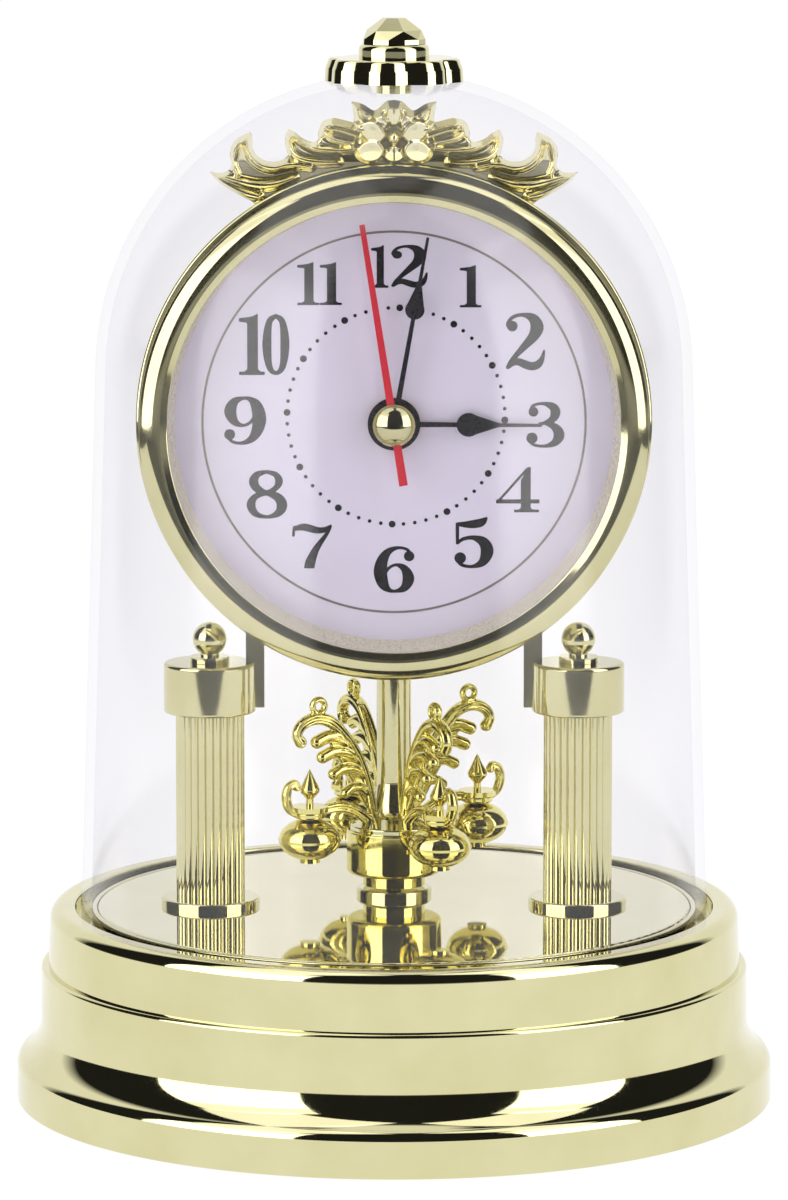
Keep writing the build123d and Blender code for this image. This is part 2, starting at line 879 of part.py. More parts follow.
def movement_front():
    """Front plate with the threaded bush and the post of the minute-work wheel."""
    plate = prism(movement_plan(0), plate_back_depth, dial_back_depth)
    plate += rod(bush_radius, plate_back_depth, bush_front_depth)
    plate -= rod(bush_bore, plate_back_depth, bush_front_depth)
    post_back = layer(CANNON_LAYER)[0]
    plate += Pos(*minute_work_place) * rod(arbor_radius, post_back, plate_back_depth)
    for place in (third_place, fifth_place, rotor_place, set_place):
        bore_end = pivot_front_depth + fixed_fit
        plate -= Pos(*place) * rod(arbor_radius + running_fit, plate_back_depth, bore_end)
    return face_frame * plate


def movement_housing():
    """Deep cover behind the train, with the bay for the cell open at the back."""
    body = prism(movement_plan(0), movement_back_depth, plate_back_depth)
    inside = movement_plan(movement_wall)
    wall_low = bay_top
    wall_high = bay_top + bay_wall
    reach = movement_height
    upper = Pos(0, wall_high) * Rectangle(movement_width, reach, align=(Align.CENTER, Align.MIN))
    lower = Pos(0, wall_low) * Rectangle(movement_width, reach, align=(Align.CENTER, Align.MAX))
    body -= prism(inside & upper, train_back_depth, plate_back_depth)
    body -= prism(inside & lower, movement_back_depth, plate_back_depth)
    for place in (third_place, fifth_place, rotor_place, (0, 0)):
        bore_end = pivot_back_depth - fixed_fit
        body -= Pos(*place) * rod(arbor_radius + running_fit, bore_end, train_back_depth)
    body -= Pos(*set_place) * rod(set_arbor_radius + running_fit, movement_back_depth, train_back_depth)
    for place in stator_posts():
        body += place * rod(post_radius, train_back_depth, stator_back_depth)
    for place in board_posts():
        body += place * rod(post_radius, train_back_depth, board_back_depth())
    return face_frame * body


def stator_posts():
    """Places of the posts under the two ends of the coil core."""
    half = coil_length / 2 + coil_core_overhang / 2
    return [Pos(rotor_place[0] + side * half, coil_rise) for side in (-1, 1)]


def board_posts():
    """Places of the posts under two corners of the circuit board."""
    low = board_low + post_radius
    high = board_low + board_height - post_radius
    left = -board_left + post_radius
    return [Pos(left, low), Pos(left + board_width - 2 * post_radius, high)]


def board_back_depth():
    """Depth of the board's back, level with the stator's."""
    return stator_back_depth


def stator():
    """Flat iron frame from the coil core to the ring round the rotor."""
    centre_x, centre_y = rotor_place
    half = coil_length / 2 + coil_core_overhang
    plan = Pos(centre_x, centre_y) * Circle(stator_ring_radius)
    arm_height = coil_rise - centre_y
    for side in (-1, 1):
        arm_x = centre_x + side * (half - coil_core_overhang / 2)
        arm = Rectangle(coil_core_overhang, arm_height + coil_core_width)
        plan += Pos(arm_x, centre_y + arm_height / 2) * arm
        plan += Pos((arm_x + centre_x) / 2, centre_y) * Rectangle(abs(arm_x - centre_x), coil_core_width)
    plan += Pos(centre_x, coil_rise) * Rectangle(2 * half, coil_core_width)
    plan -= Pos(centre_x, centre_y) * Circle(stator_hole_radius)
    return face_frame * prism(plan, stator_back_depth, stator_front_depth)


def stepper_coil():
    """Wound coil round the stator's core."""
    core_half = math.hypot(coil_core_width, stator_thickness) / 2
    coil = pipe(coil_radius, core_half + fixed_fit, -coil_length / 2, coil_length / 2)
    middle = (stator_front_depth + stator_back_depth) / 2
    return face_frame * Pos(rotor_place[0], coil_rise, middle) * Rot(0, 90, 0) * coil


def circuit_board():
    """Small board on its two posts."""
    low = board_back_depth()
    return face_frame * block(
        (-board_left, board_width - board_left),
        (board_low, board_low + board_height),
        (low, low + board_thickness),
    )


def quartz_crystal():
    """Tuning crystal's can, lying on the board."""
    can = Rot(-90, 0, 0) * rod(crystal_radius, 0, crystal_length)
    rest = board_back_depth() + board_thickness + crystal_radius
    low = board_low + (board_height - crystal_length) / 2
    return face_frame * Pos(board_width / 2 - board_left, low, rest) * can


def battery_cell():
    """Round cell with its positive nub to the right."""
    start = -battery_length / 2
    body_end = start + battery_body_length
    cell = rod(battery_radius, start, body_end) + rod(battery_nub_radius, body_end, battery_length / 2)
    return face_frame * Pos(0, -battery_drop, battery_depth) * Rot(0, 90, 0) * cell


def battery_contacts():
    """Plate with a spring cone at one end of the bay and a plate with a dimple at the other."""
    half = movement_width / 2 - movement_wall
    cell_end = battery_length / 2
    plate_y = (-battery_drop - contact_width / 2, -battery_drop + contact_width / 2)
    plate_z = (battery_depth - contact_width / 2, battery_depth + contact_width / 2)
    left = block((-half, contact_thickness - half), plate_y, plate_z)
    right = block((half - contact_thickness, half), plate_y, plate_z)
    axis = Pos(0, -battery_drop, battery_depth) * Rot(0, 90, 0)
    cone_base = contact_thickness - half
    left += axis * turned(
        (0, cone_base),
        (contact_spring_radius, cone_base),
        (battery_nub_radius, -cell_end),
        (0, -cell_end),
    )
    right += axis * rod(battery_nub_radius, cell_end, half - contact_thickness)
    return group([face_frame * left, face_frame * right])


def dial_nut():
    """Hexagon nut that clamps dial and movement together."""
    face = RegularPolygon(nut_radius, 6) - Circle(bush_radius + fixed_fit)
    return face_frame * prism(face, dial_front_depth, dial_front_depth + nut_height)


# Wheels


def wheel(teeth, module, phase, index):
    """One toothed wheel in its layer."""
    return prism(gear_face(teeth, module, phase), *layer(index))


third_facing = third_direction + 180
cannon_phase = minute_work_direction
second_pinion_phase = third_direction
fifth_pinion_phase = fifth_direction + 180
minute_work_phase = mate_phase(cannon_teeth, cannon_phase, minute_work_teeth, minute_work_direction)


def second_wheel():
    """Arbor of the second hand with its wheel and pinion."""
    second_phase = mate_phase(pinion_teeth, fifth_pinion_phase, second_teeth, fifth_direction + 180)
    solid = rod(arbor_radius, pivot_back_depth, hand_depth(2) + hand_thickness)
    solid += wheel(second_teeth, second_module, second_phase, SECOND_LAYER)
    solid += wheel(pinion_teeth, third_module, second_pinion_phase, THIRD_LAYER)
    return face_frame * solid


def third_wheel():
    """Wheel driven by the second pinion, with the pinion that drives the minute wheel."""
    phase = mate_phase(pinion_teeth, second_pinion_phase, third_teeth, third_direction)
    solid = rod(arbor_radius, pivot_back_depth, pivot_front_depth)
    solid += wheel(third_teeth, third_module_fitted(), phase, THIRD_LAYER)
    solid += wheel(pinion_teeth, minute_module, third_facing, MINUTE_LAYER)
    return face_frame * Pos(*third_place) * solid


def third_module_fitted():
    """Module of the third wheel, so that it meshes at the minute wheel's centre distance."""
    distance = centre_distance(pinion_teeth, minute_teeth, minute_module)
    return 2 * distance / (pinion_teeth + third_teeth)


def minute_wheel():
    """Tube of the minute hand with the minute wheel and the cannon pinion."""
    phase = mate_phase(pinion_teeth, third_facing, minute_teeth, third_facing)
    low = layer(MINUTE_LAYER)[0]
    solid = rod(minute_tube_radius, low, hand_depth(1) + hand_thickness)
    solid += wheel(minute_teeth, minute_module, phase, MINUTE_LAYER)
    solid += wheel(cannon_teeth, motion_module, cannon_phase, CANNON_LAYER)
    return face_frame * (solid - rod(minute_bore, low, hand_depth(1) + hand_thickness))


def minute_work_wheel():
    """Motion-work wheel and pinion on the front plate's post."""
    solid = wheel(minute_work_teeth, motion_module, minute_work_phase, CANNON_LAYER)
    solid += wheel(minute_work_pinion_teeth, motion_module, minute_work_direction + 180, HOUR_LAYER)
    low = layer(CANNON_LAYER)[0]
    high = layer(HOUR_LAYER)[1]
    solid += rod(2 * arbor_radius, low, high)
    return face_frame * Pos(*minute_work_place) * (solid - rod(arbor_radius + running_fit, low, high))


def hour_wheel():
    """Tube of the hour hand with the hour wheel."""
    inward = minute_work_direction + 180
    phase = mate_phase(minute_work_pinion_teeth, inward, hour_teeth, inward)
    low = layer(HOUR_LAYER)[0]
    solid = rod(hour_tube_radius, low, hand_depth(0) + hand_thickness)
    solid += wheel(hour_teeth, motion_module, phase, HOUR_LAYER)
    return face_frame * (solid - rod(hour_bore, low, hand_depth(0) + hand_thickness))


def fifth_wheel():
    """Wheel driven by the rotor, with the pinion that drives the second wheel."""
    phase = mate_phase(pinion_teeth, rotor_direction + 180, fifth_teeth, rotor_direction + 180)
    solid = rod(arbor_radius, pivot_back_depth, pivot_front_depth)
    solid += wheel(fifth_teeth, fifth_module, phase, FIFTH_LAYER)
    solid += wheel(pinion_teeth, second_module, fifth_pinion_phase, SECOND_LAYER)
    return face_frame * Pos(*fifth_place) * solid


def rotor():
    """Magnet of the stepping motor with its pinion."""
    solid = rod(arbor_radius, pivot_back_depth, pivot_front_depth)
    solid += wheel(pinion_teeth, fifth_module, rotor_direction + 180, FIFTH_LAYER)
    solid += rod(rotor_radius, rotor_front_depth - rotor_thickness, rotor_front_depth)
    return face_frame * Pos(*rotor_place) * solid


def set_knob():
    """Knob behind the movement with its arbor and setting gear."""
    phase = mate_phase(minute_work_teeth, minute_work_phase, set_teeth, set_direction)
    knob_front = movement_back_depth - set_knob_gap
    knob_back = knob_front - set_knob_height
    knob = rod(set_knob_radius, knob_back, knob_front)
    for place in ring_places(set_knob_radius, set_knob_grips):
        knob -= place * rod(set_knob_grip_depth, knob_back, knob_front)
    solid = knob + rod(set_arbor_radius, knob_front, layer(CANNON_LAYER)[1])
    solid += wheel(set_teeth, motion_module, phase, CANNON_LAYER)
    solid += rod(arbor_radius, layer(CANNON_LAYER)[0], pivot_front_depth)
    return face_frame * Pos(*set_place) * solid


# Hands


def hand_depth(index):
    """Back depth of a hand: 0 hour, 1 minute, 2 second."""
    return hand_first_depth + index * hand_pitch


def spade_hand(length, blade_shares, blade_radius, hub_radius, bore, angle, index):
    """Hand with a round-footed pointed blade part-way along its stem."""
    half = hand_stem_width / 2
    blade_place, blade_end = (share * length for share in blade_shares)
    stem = make_face(Polyline((-half, 0), (half, 0), (half / 2, length), (-half / 2, length), close=True))
    blade = Pos(0, blade_place) * Circle(blade_radius)
    point = make_face(
        Polyline((-blade_radius, blade_place), (blade_radius, blade_place), (0, blade_end), close=True)
    )
    plan = Circle(hub_radius) + stem + blade + point - Circle(bore)
    low = hand_depth(index)
    return face_frame * Rot(0, 0, -angle) * prism(plan, low, low + hand_thickness)


def hour_hand():
    """Short spade hand pressed on the hour tube."""
    bore = hour_tube_radius + fixed_fit
    return spade_hand(hour_length, hour_blade_shares, hour_blade_radius, hour_hub_radius, bore, hour_angle, 0)


def minute_hand():
    """Long spade hand pressed on the minute tube."""
    bore = minute_tube_radius + fixed_fit
    return spade_hand(
        minute_length, minute_blade_shares, minute_blade_radius, minute_hub_radius, bore, minute_angle, 1
    )


def second_hand():
    """Straight tapered hand with a wider tail."""
    tip = second_tip_width / 2
    tail = second_tail_width / 2
    outline = Polyline(
        (-tail, -second_tail),
        (tail, -second_tail),
        (tip, second_length),
        (-tip, second_length),
        close=True,
    )
    plan = make_face(outline) + Circle(minute_hub_radius) - Circle(arbor_radius + fixed_fit)
    solid = prism(plan, hand_depth(2), hand_depth(2) + hand_thickness)
    return face_frame * Rot(0, 0, -second_angle) * solid


def hand_cap():
    """Domed cap on the second hand."""
    low = hand_depth(2) + hand_thickness
    top = low + cap_height
    sphere_radius = (cap_radius**2 + cap_height**2) / (2 * cap_height)
    return face_frame * (rod(cap_radius, low, top) & Pos(0, 0, top - sphere_radius) * Sphere(sphere_radius))


# Pendulum


def stem_outline():
    """Corners of the stem with its trumpet foot."""
    return (
        (flare_radius, hub_top),
        (flare_radius, hub_top + flare_edge),
        (flare_waist_radius, hub_top + flare_waist_rise, flare_waist_round),
        (stem_radius, hub_top + flare_top_rise, flare_top_round),
        (stem_radius, stem_top),
    )


def pendulum_stem():
    """Turned stem, drilled at the top for the spindle."""
    stem = turned((0, hub_top), *stem_outline(), (0, stem_top))
    return pendulum_place * (stem - rod(spindle_radius + fixed_fit, stem_top - spindle_socket, stem_top))


def pendulum_hub():
    """Drum under the stem with its neck and the guide pin."""
    pin_low = groove_floor + deck_recess
    hub = turned(
        (0, pin_low),
        (pin_radius, pin_low),
        (pin_radius, neck_low),
        (neck_radius, neck_low),
        (neck_radius, hub_low),
        (hub_radius, hub_low, hub_round),
        (hub_radius, hub_top, hub_round / 3),
        (0, hub_top),
    )
    return pendulum_place * hub


def arm_point(span_share, rise_share):
    """Point of an arm's plane: distance from the pendulum's axis and height."""
    return (stem_radius + span_share * arm_span, hub_top + rise_share * arm_rise)


def scroll_arm():
    """Leafy arm in a radial plane, with a hanging ring and a collar round the ball's neck."""
    plan = Sketch()
    for start, middle, end, width_share, tip_share in arm_branch_shares:
        points = [arm_point(*shares) for shares in (start, middle, end)]
        plan += leaf(*points, width_share * arm_reach)
        if tip_share:
            plan += Pos(*points[2]) * Circle(tip_share * arm_reach)
    ring_place = Pos(*arm_point(*arm_ring_shares))
    plan += ring_place * Circle(arm_ring_radius)
    plan -= ring_place * Circle(arm_ring_hole)
    arm = extrude(Plane.XZ * plan, arm_thickness / 2, both=True)
    neck = Pos(ball_ring) * Rot(0, 0, 90)
    saucer_clear = ball_saucer_radius + running_fit
    arm -= neck * rod(saucer_clear, collar_top, collar_top + ball_saucer_height + 2 * running_fit)
    arm -= neck * rod(saucer_clear, ball_height, collar_low)
    arm += neck * rod(ball_collar_radius, collar_low, collar_top)
    arm -= neck * rod(ball_neck_radius + fixed_fit, collar_low, collar_top)
    clearance = [(corner[0] + fixed_fit, *corner[1:]) for corner in stem_outline()]
    return arm - Rot(0, 0, 180) * turned((0, hub_top), *clearance, (0, stem_top))


def pendulum_ball():
    """Turned ball with a seam, a foot, a saucer over the arm's collar and a bud on top."""
    saucer_low = collar_top + running_fit
    saucer_top = saucer_low + ball_saucer_height
    bud_top = saucer_top + bud_height
    side = EllipticalCenterArc(
        (0, ball_height),
        ball_radius,
        ball_half_height,
        start_angle=-90,
        arc_size=180,
    )
    axis = Line((0, ball_top), (0, ball_height - ball_half_height))
    body = revolve(Plane.XZ * make_face([side, axis]), Axis.Z)
    seam_half = ball_seam_height / 2
    body += rod(ball_radius + ball_seam, ball_height - seam_half, ball_height + seam_half)
    foot_top_height = ball_height - ball_half_height + ball_foot_height / 2
    body += rod(ball_foot_radius, foot_top_height - ball_foot_height, foot_top_height)
    body += rod(ball_neck_radius, ball_height, saucer_low)
    body += rod(ball_saucer_radius, saucer_low, saucer_top)
    body += turned(
        (0, saucer_low),
        (bud_stalk_radius, saucer_low),
        (bud_stalk_radius, saucer_top + bud_low_share * bud_height),
        (bud_radius, saucer_top + bud_wide_share * bud_height, bud_radius / 2),
        (0, bud_top),
    )
    return body


def on_arms(solid, index):
    """A piece of one arm turned to its place on the pendulum."""
    return pendulum_place * Rot(0, 0, arm_first_direction + 360 * index / arm_count) * solid


def pendulum_spindle():
    """Steel spindle from the stem into the drive."""
    return pendulum_place * rod(spindle_radius, stem_top - spindle_socket, magnet_low + magnet_height)


def pendulum_magnet():
    """Disc magnet on the spindle, which carries the pendulum on the drive's floor."""
    return pendulum_place * pipe(
        magnet_radius, spindle_radius + fixed_fit, magnet_low, magnet_low + magnet_height
    )


def drive_housing():
    """Block in the bottom of the case with the spindle bush and the coil's seat."""
    half = drive_width / 2
    solid = block(
        (-half, half),
        (pendulum_y - drive_depth / 2, pendulum_y + drive_depth / 2),
        (drive_low, drive_top),
    )
    solid = solid & (face_frame * rod(drum_inner_radius - fixed_fit, drum_back_depth, dial_front_depth))
    solid -= pendulum_place * rod(spindle_radius + running_fit, drive_low, drive_floor_top)
    solid -= pendulum_place * rod(magnet_radius + magnet_gap, drive_floor_top, drive_shelf)
    return solid - pendulum_place * rod(drive_coil_radius + fixed_fit, drive_shelf, drive_top)


def drive_coil():
    """Flat coil over the magnet."""
    return pendulum_place * pipe(drive_coil_radius, spindle_radius, drive_shelf, drive_shelf + drive_coil_height)


# Dome


def dome_profile(inset):
    """Side line and crown of the dome, moved inwards by an inset: foot, tangent point, arc middle and top."""
    radius = dome_crown_radius - inset
    foot = (dome_foot_radius - inset, groove_floor)
    drop = groove_floor - crown_height
    reach = math.hypot(foot[0], drop)
    lean = math.degrees(math.atan2(drop, foot[0]) + math.acos(radius / reach))
    centre = Vector(0, crown_height)
    tangent = centre + Vector(*polar(radius, lean))
    middle = centre + Vector(*polar(radius, (lean + 90) / 2))
    top = centre + Vector(0, radius)
    return Vector(*foot), tangent, middle, top


def dome_shell():
    """Clear dome with a hole in its crown for the knob's screw."""
    foot, tangent, middle, top = dome_profile(0)
    foot_in, tangent_in, middle_in, top_in = dome_profile(dome_wall)
    edges = [
        Line(foot_in, foot),
        Line(foot, tangent),
        ThreePointArc(tangent, middle, top),
        Line(top, top_in),
        ThreePointArc(top_in, middle_in, tangent_in),
        Line(tangent_in, foot_in),
    ]
    shell = revolve(Plane.XZ * make_face(edges), Axis.Z)
    return shell - rod(dome_screw_radius + fixed_fit, crown_height, dome_top + cut_overrun)


def dome_flower():
    """Plate of tapered lobes that sits on the crown."""
    lobe_ring = flower_radius - flower_lobe_radius
    low = dome_top - flower_skirt
    high = dome_top + flower_height
    solid = rod(lobe_ring, low, high)
    top_radius = flower_lobe_radius - flower_draft
    standing = (Align.CENTER, Align.CENTER, Align.MIN)
    lobe = Pos(0, 0, low) * Cone(flower_lobe_radius, top_radius, high - low, align=standing)
    for place in ring_places(lobe_ring, flower_lobes, first=flower_direction):
        solid += place * lobe
    solid -= Pos(0, 0, crown_height) * Sphere(dome_crown_radius)
    return solid - rod(dome_screw_radius + fixed_fit, low, high)


def dome_knob():
    """Ring and cut gem on the flower plate."""
    low = dome_top + flower_height
    ring_top = low + knob_ring_height
    solid = turned(
        (0, low),
        (knob_ring_radius, low),
        (knob_ring_radius, ring_top, knob_ring_round),
        (0, ring_top),
    )
    girdle = ring_top + gem_low_height
    table = girdle + gem_high_height
    turn = Rot(0, 0, gem_direction)
    rings = [
        Pos(0, 0, ring_top) * turn * RegularPolygon(gem_base_radius, gem_sides),
        Pos(0, 0, girdle) * turn * RegularPolygon(gem_mid_radius, gem_sides),
        Pos(0, 0, table) * turn * RegularPolygon(gem_table_radius, gem_sides),
    ]
    solid += loft(rings[:2], ruled=True)
    solid += loft(rings[1:], ruled=True)
    return solid - rod(dome_screw_radius + fixed_fit, low, ring_top)


def dome_screw():
    """Screw from the knob through the crown, with its nut inside the dome."""
    nut_top = dome_top - dome_wall - dome_nut_sag()
    solid = rod(dome_screw_radius, nut_top - dome_nut_height, dome_top + flower_height + knob_ring_height)
    return solid + rod(dome_nut_radius, nut_top - dome_nut_height, nut_top)


def dome_nut_sag():
    """How far the crown's inner face falls away over the nut's radius."""
    inner = dome_crown_radius - dome_wall
    return inner - math.sqrt(inner**2 - dome_nut_radius**2)


def build_nodes():
    """Every named piece of the clock."""
    nodes = {
        "base_shell": base_shell(),
        "base_deck": base_deck(),
        "bottom_cover": bottom_cover(),
        "foot_pads": foot_pads(),
        "cover_screws": cover_screws(),
        "guide_cup": guide_cup(),
        "case_drum": case_drum(),
        "bezel": bezel(),
        "lens": lens(),
        "dial_ring": dial_ring(),
        "dial": dial(),
        "crest": crest(),
        "case_back": case_back(),
        "back_screws": back_screws(),
        "movement_front": movement_front(),
        "movement_housing": movement_housing(),
        "stator": stator(),
        "stepper_coil": stepper_coil(),
        "circuit_board": circuit_board(),
        "quartz_crystal": quartz_crystal(),
        "battery_cell": battery_cell(),
        "battery_contacts": battery_contacts(),
        "dial_nut": dial_nut(),
        "second_wheel": second_wheel(),
        "third_wheel": third_wheel(),
        "minute_wheel": minute_wheel(),
        "minute_work_wheel": minute_work_wheel(),
        "hour_wheel": hour_wheel(),
        "fifth_wheel": fifth_wheel(),
        "rotor": rotor(),
        "set_knob": set_knob(),
        "hour_hand": hour_hand(),
        "minute_hand": minute_hand(),
        "second_hand": second_hand(),
        "hand_cap": hand_cap(),
        "pendulum_stem": pendulum_stem(),
        "pendulum_hub": pendulum_hub(),
        "pendulum_spindle": pendulum_spindle(),
        "pendulum_magnet": pendulum_magnet(),
        "drive_housing": drive_housing(),
        "drive_coil": drive_coil(),
        "dome_shell": dome_shell(),
        "dome_flower": dome_flower(),
        "dome_knob": dome_knob(),
        "dome_screw": dome_screw(),
    }
    column = pillar()
    ball_finial = pillar_finial()
    tie = tie_screw()
    for name, side in (("left", -1), ("right", 1)):
        place = Pos(side * pillar_x, pillar_y)
        nodes["pillar_" + name] = place * column
        nodes["capital_" + name] = place * capital(side)
        nodes["finial_" + name] = place * ball_finial
    nodes["tie_screws"] = group(Pos(side * pillar_x, pillar_y) * tie for side in (-1, 1))
    arm = scroll_arm()
    ball = Pos(ball_ring) * pendulum_ball()
    for index in range(arm_count):
        nodes[f"scroll_arm_{index + 1}"] = on_arms(arm, index)
        nodes[f"pendulum_ball_{index + 1}"] = on_arms(ball, index)
    return nodes


if __name__ == "__main__":
    os.makedirs("parts", exist_ok=True)
    for node_name, shape in build_nodes().items():
        export_step(shape, f"parts/{node_name}.step")
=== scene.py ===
import json
import math

import bmesh
import bpy
import numpy as np
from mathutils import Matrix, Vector


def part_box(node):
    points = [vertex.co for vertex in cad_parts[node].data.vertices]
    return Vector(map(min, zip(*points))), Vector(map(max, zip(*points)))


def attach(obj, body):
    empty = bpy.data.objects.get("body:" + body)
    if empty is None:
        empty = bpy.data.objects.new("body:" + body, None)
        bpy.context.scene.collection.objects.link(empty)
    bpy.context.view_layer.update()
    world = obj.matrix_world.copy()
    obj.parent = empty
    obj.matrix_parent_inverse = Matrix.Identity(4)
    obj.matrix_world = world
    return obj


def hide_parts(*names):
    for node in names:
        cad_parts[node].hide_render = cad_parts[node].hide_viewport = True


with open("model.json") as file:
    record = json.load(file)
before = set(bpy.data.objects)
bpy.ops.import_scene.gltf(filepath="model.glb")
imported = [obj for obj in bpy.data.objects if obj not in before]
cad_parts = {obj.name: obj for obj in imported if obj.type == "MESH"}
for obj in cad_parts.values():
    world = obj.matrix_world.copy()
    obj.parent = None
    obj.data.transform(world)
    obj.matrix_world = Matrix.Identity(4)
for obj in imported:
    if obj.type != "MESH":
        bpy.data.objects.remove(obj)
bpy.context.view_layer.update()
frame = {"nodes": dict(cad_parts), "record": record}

MM = 0.001
FAR = 1e9
WHITE = (1.0, 1.0, 1.0)
scene = bpy.context.scene
scene.view_settings.view_transform = "Standard"

# Node helpers

# Sockets of a mix node that blends colours: the two inputs and the result.
MIX_FIRST, MIX_SECOND, MIX_RESULT = 6, 7, 2


def new_material(name):
    """An empty node material, its tree and its output node."""
    material = bpy.data.materials.new(name)
    material.use_nodes = True
    tree = material.node_tree
    tree.nodes.clear()
    output = tree.nodes.new("ShaderNodeOutputMaterial")
    return material, tree, output


def feed(tree, socket, value):
    """Links an input to another socket, or sets it to a number or to red, green and blue."""
    if isinstance(value, bpy.types.NodeSocket):
        tree.links.new(value, socket)
    elif isinstance(value, tuple):
        socket.default_value = (*value, 1.0)
    else:
        socket.default_value = value


def put(tree, kind, **sockets):
    """A new node with the named inputs fed, where a low line in a name stands for a space."""
    node = tree.nodes.new(kind)
    for key, value in sockets.items():
        feed(tree, node.inputs[key.replace("_", " ")], value)
    return node


def math_node(tree, operation, *values):
    """The result of a math node on numbers or sockets."""
    node = tree.nodes.new("ShaderNodeMath")
    node.operation = operation
    for socket, value in zip(node.inputs, values):
        feed(tree, socket, value)
    return node.outputs[0]


def mix_shader(tree, share, first, second):
    """Two shaders, of which the second shows by the given share."""
    node = tree.nodes.new("ShaderNodeMixShader")
    for socket, value in zip(node.inputs, (share, first, second)):
        feed(tree, socket, value)
    return node.outputs[0]


def object_place(tree):
    return tree.nodes.new("ShaderNodeTexCoord").outputs["Object"]


def noise(tree, place, scale, detail, roughness=0.5):
    node = put(tree, "ShaderNodeTexNoise", Vector=place, Scale=scale, Detail=detail,
               Roughness=roughness)
    return node.outputs["Fac"]


def spread(tree, value, low, high, source=(0.3, 0.7)):
    """A value of the source range, spread from low to high."""
    node = put(tree, "ShaderNodeMapRange", Value=value, From_Min=source[0], From_Max=source[1],
               To_Min=low, To_Max=high)
    return node.outputs["Result"]


def mix_colour(tree, factor, first, second):
    """Two colours, each a socket or red, green and blue, blended by a factor."""
    node = tree.nodes.new("ShaderNodeMix")
    node.data_type = "RGBA"
    feed(tree, node.inputs["Factor"], factor)
    feed(tree, node.inputs[MIX_FIRST], first)
    feed(tree, node.inputs[MIX_SECOND], second)
    return node.outputs[MIX_RESULT]


def bump(tree, height, distance, normal=None):
    node = put(tree, "ShaderNodeBump", Height=height, Distance=distance, Strength=1.0)
    if normal is not None:
        feed(tree, node.inputs["Normal"], normal)
    return node.outputs["Normal"]


def surface(name, light, deep, rough, metallic, patch, grain, grain_depth, wave=None):
    """A solid finish: two tones in soft patches, varied roughness, a fine grain and perhaps a wave."""
    material, tree, output = new_material(name)
    place = object_place(tree)
    patches = spread(tree, noise(tree, place, patch, detail=3.0), 0.0, 1.0)
    tone = mix_colour(tree, patches, light, deep)
    gloss = spread(tree, noise(tree, place, grain, detail=3.0, roughness=0.6), *rough)
    shader = put(tree, "ShaderNodeBsdfPrincipled", Base_Color=tone, Roughness=gloss,
                 Metallic=metallic)
    normal = None
    if wave:
        wave_scale, wave_depth = wave
        normal = bump(tree, noise(tree, place, wave_scale, detail=1.0), wave_depth)
    if grain_depth:
        normal = bump(tree, noise(tree, place, grain, detail=2.0), grain_depth, normal)
    if normal is not None:
        feed(tree, shader.inputs["Normal"], normal)
    feed(tree, output.inputs["Surface"], shader.outputs[0])
    return material


EDGE_MIRROR, FACING_BLEND = 0.30, 0.25
CLEAR_TINT, CLEAR_EDGE_TINT = (0.993, 0.990, 0.995), (0.94, 0.935, 0.955)
CLEAR_PATCH, CLEAR_WAVE, CLEAR_WAVE_DEPTH = 260.0, 30.0, 4e-5


def clear_plastic(name, ior, rough):
    """A thin clear wall: straight through where faced, tinted and a part mirror where seen edge-on."""
    material, tree, output = new_material(name)
    place = object_place(tree)
    facing = put(tree, "ShaderNodeLayerWeight", Blend=FACING_BLEND).outputs["Facing"]
    colour = mix_colour(tree, facing, CLEAR_TINT, CLEAR_EDGE_TINT)
    through = put(tree, "ShaderNodeBsdfTransparent", Color=colour)
    gloss = spread(tree, noise(tree, place, CLEAR_PATCH, detail=3.0), *rough)
    wave = bump(tree, noise(tree, place, CLEAR_WAVE, detail=1.0), CLEAR_WAVE_DEPTH)
    mirror = put(tree, "ShaderNodeBsdfGlossy", Color=WHITE, Roughness=gloss, Normal=wave)
    fresnel = put(tree, "ShaderNodeFresnel", IOR=ior).outputs[0]
    leaving = tree.nodes.new("ShaderNodeNewGeometry").outputs["Backfacing"]
    entering = math_node(tree, "MULTIPLY", fresnel, math_node(tree, "SUBTRACT", 1.0, leaving))
    share = math_node(tree, "MINIMUM", entering, EDGE_MIRROR)
    both = mix_shader(tree, share, through.outputs[0], mirror.outputs[0])
    feed(tree, output.inputs["Surface"], both)
    return material


# Materials

GOLD_LIGHT, GOLD_DEEP = (0.735, 0.70, 0.42), (0.67, 0.63, 0.35)
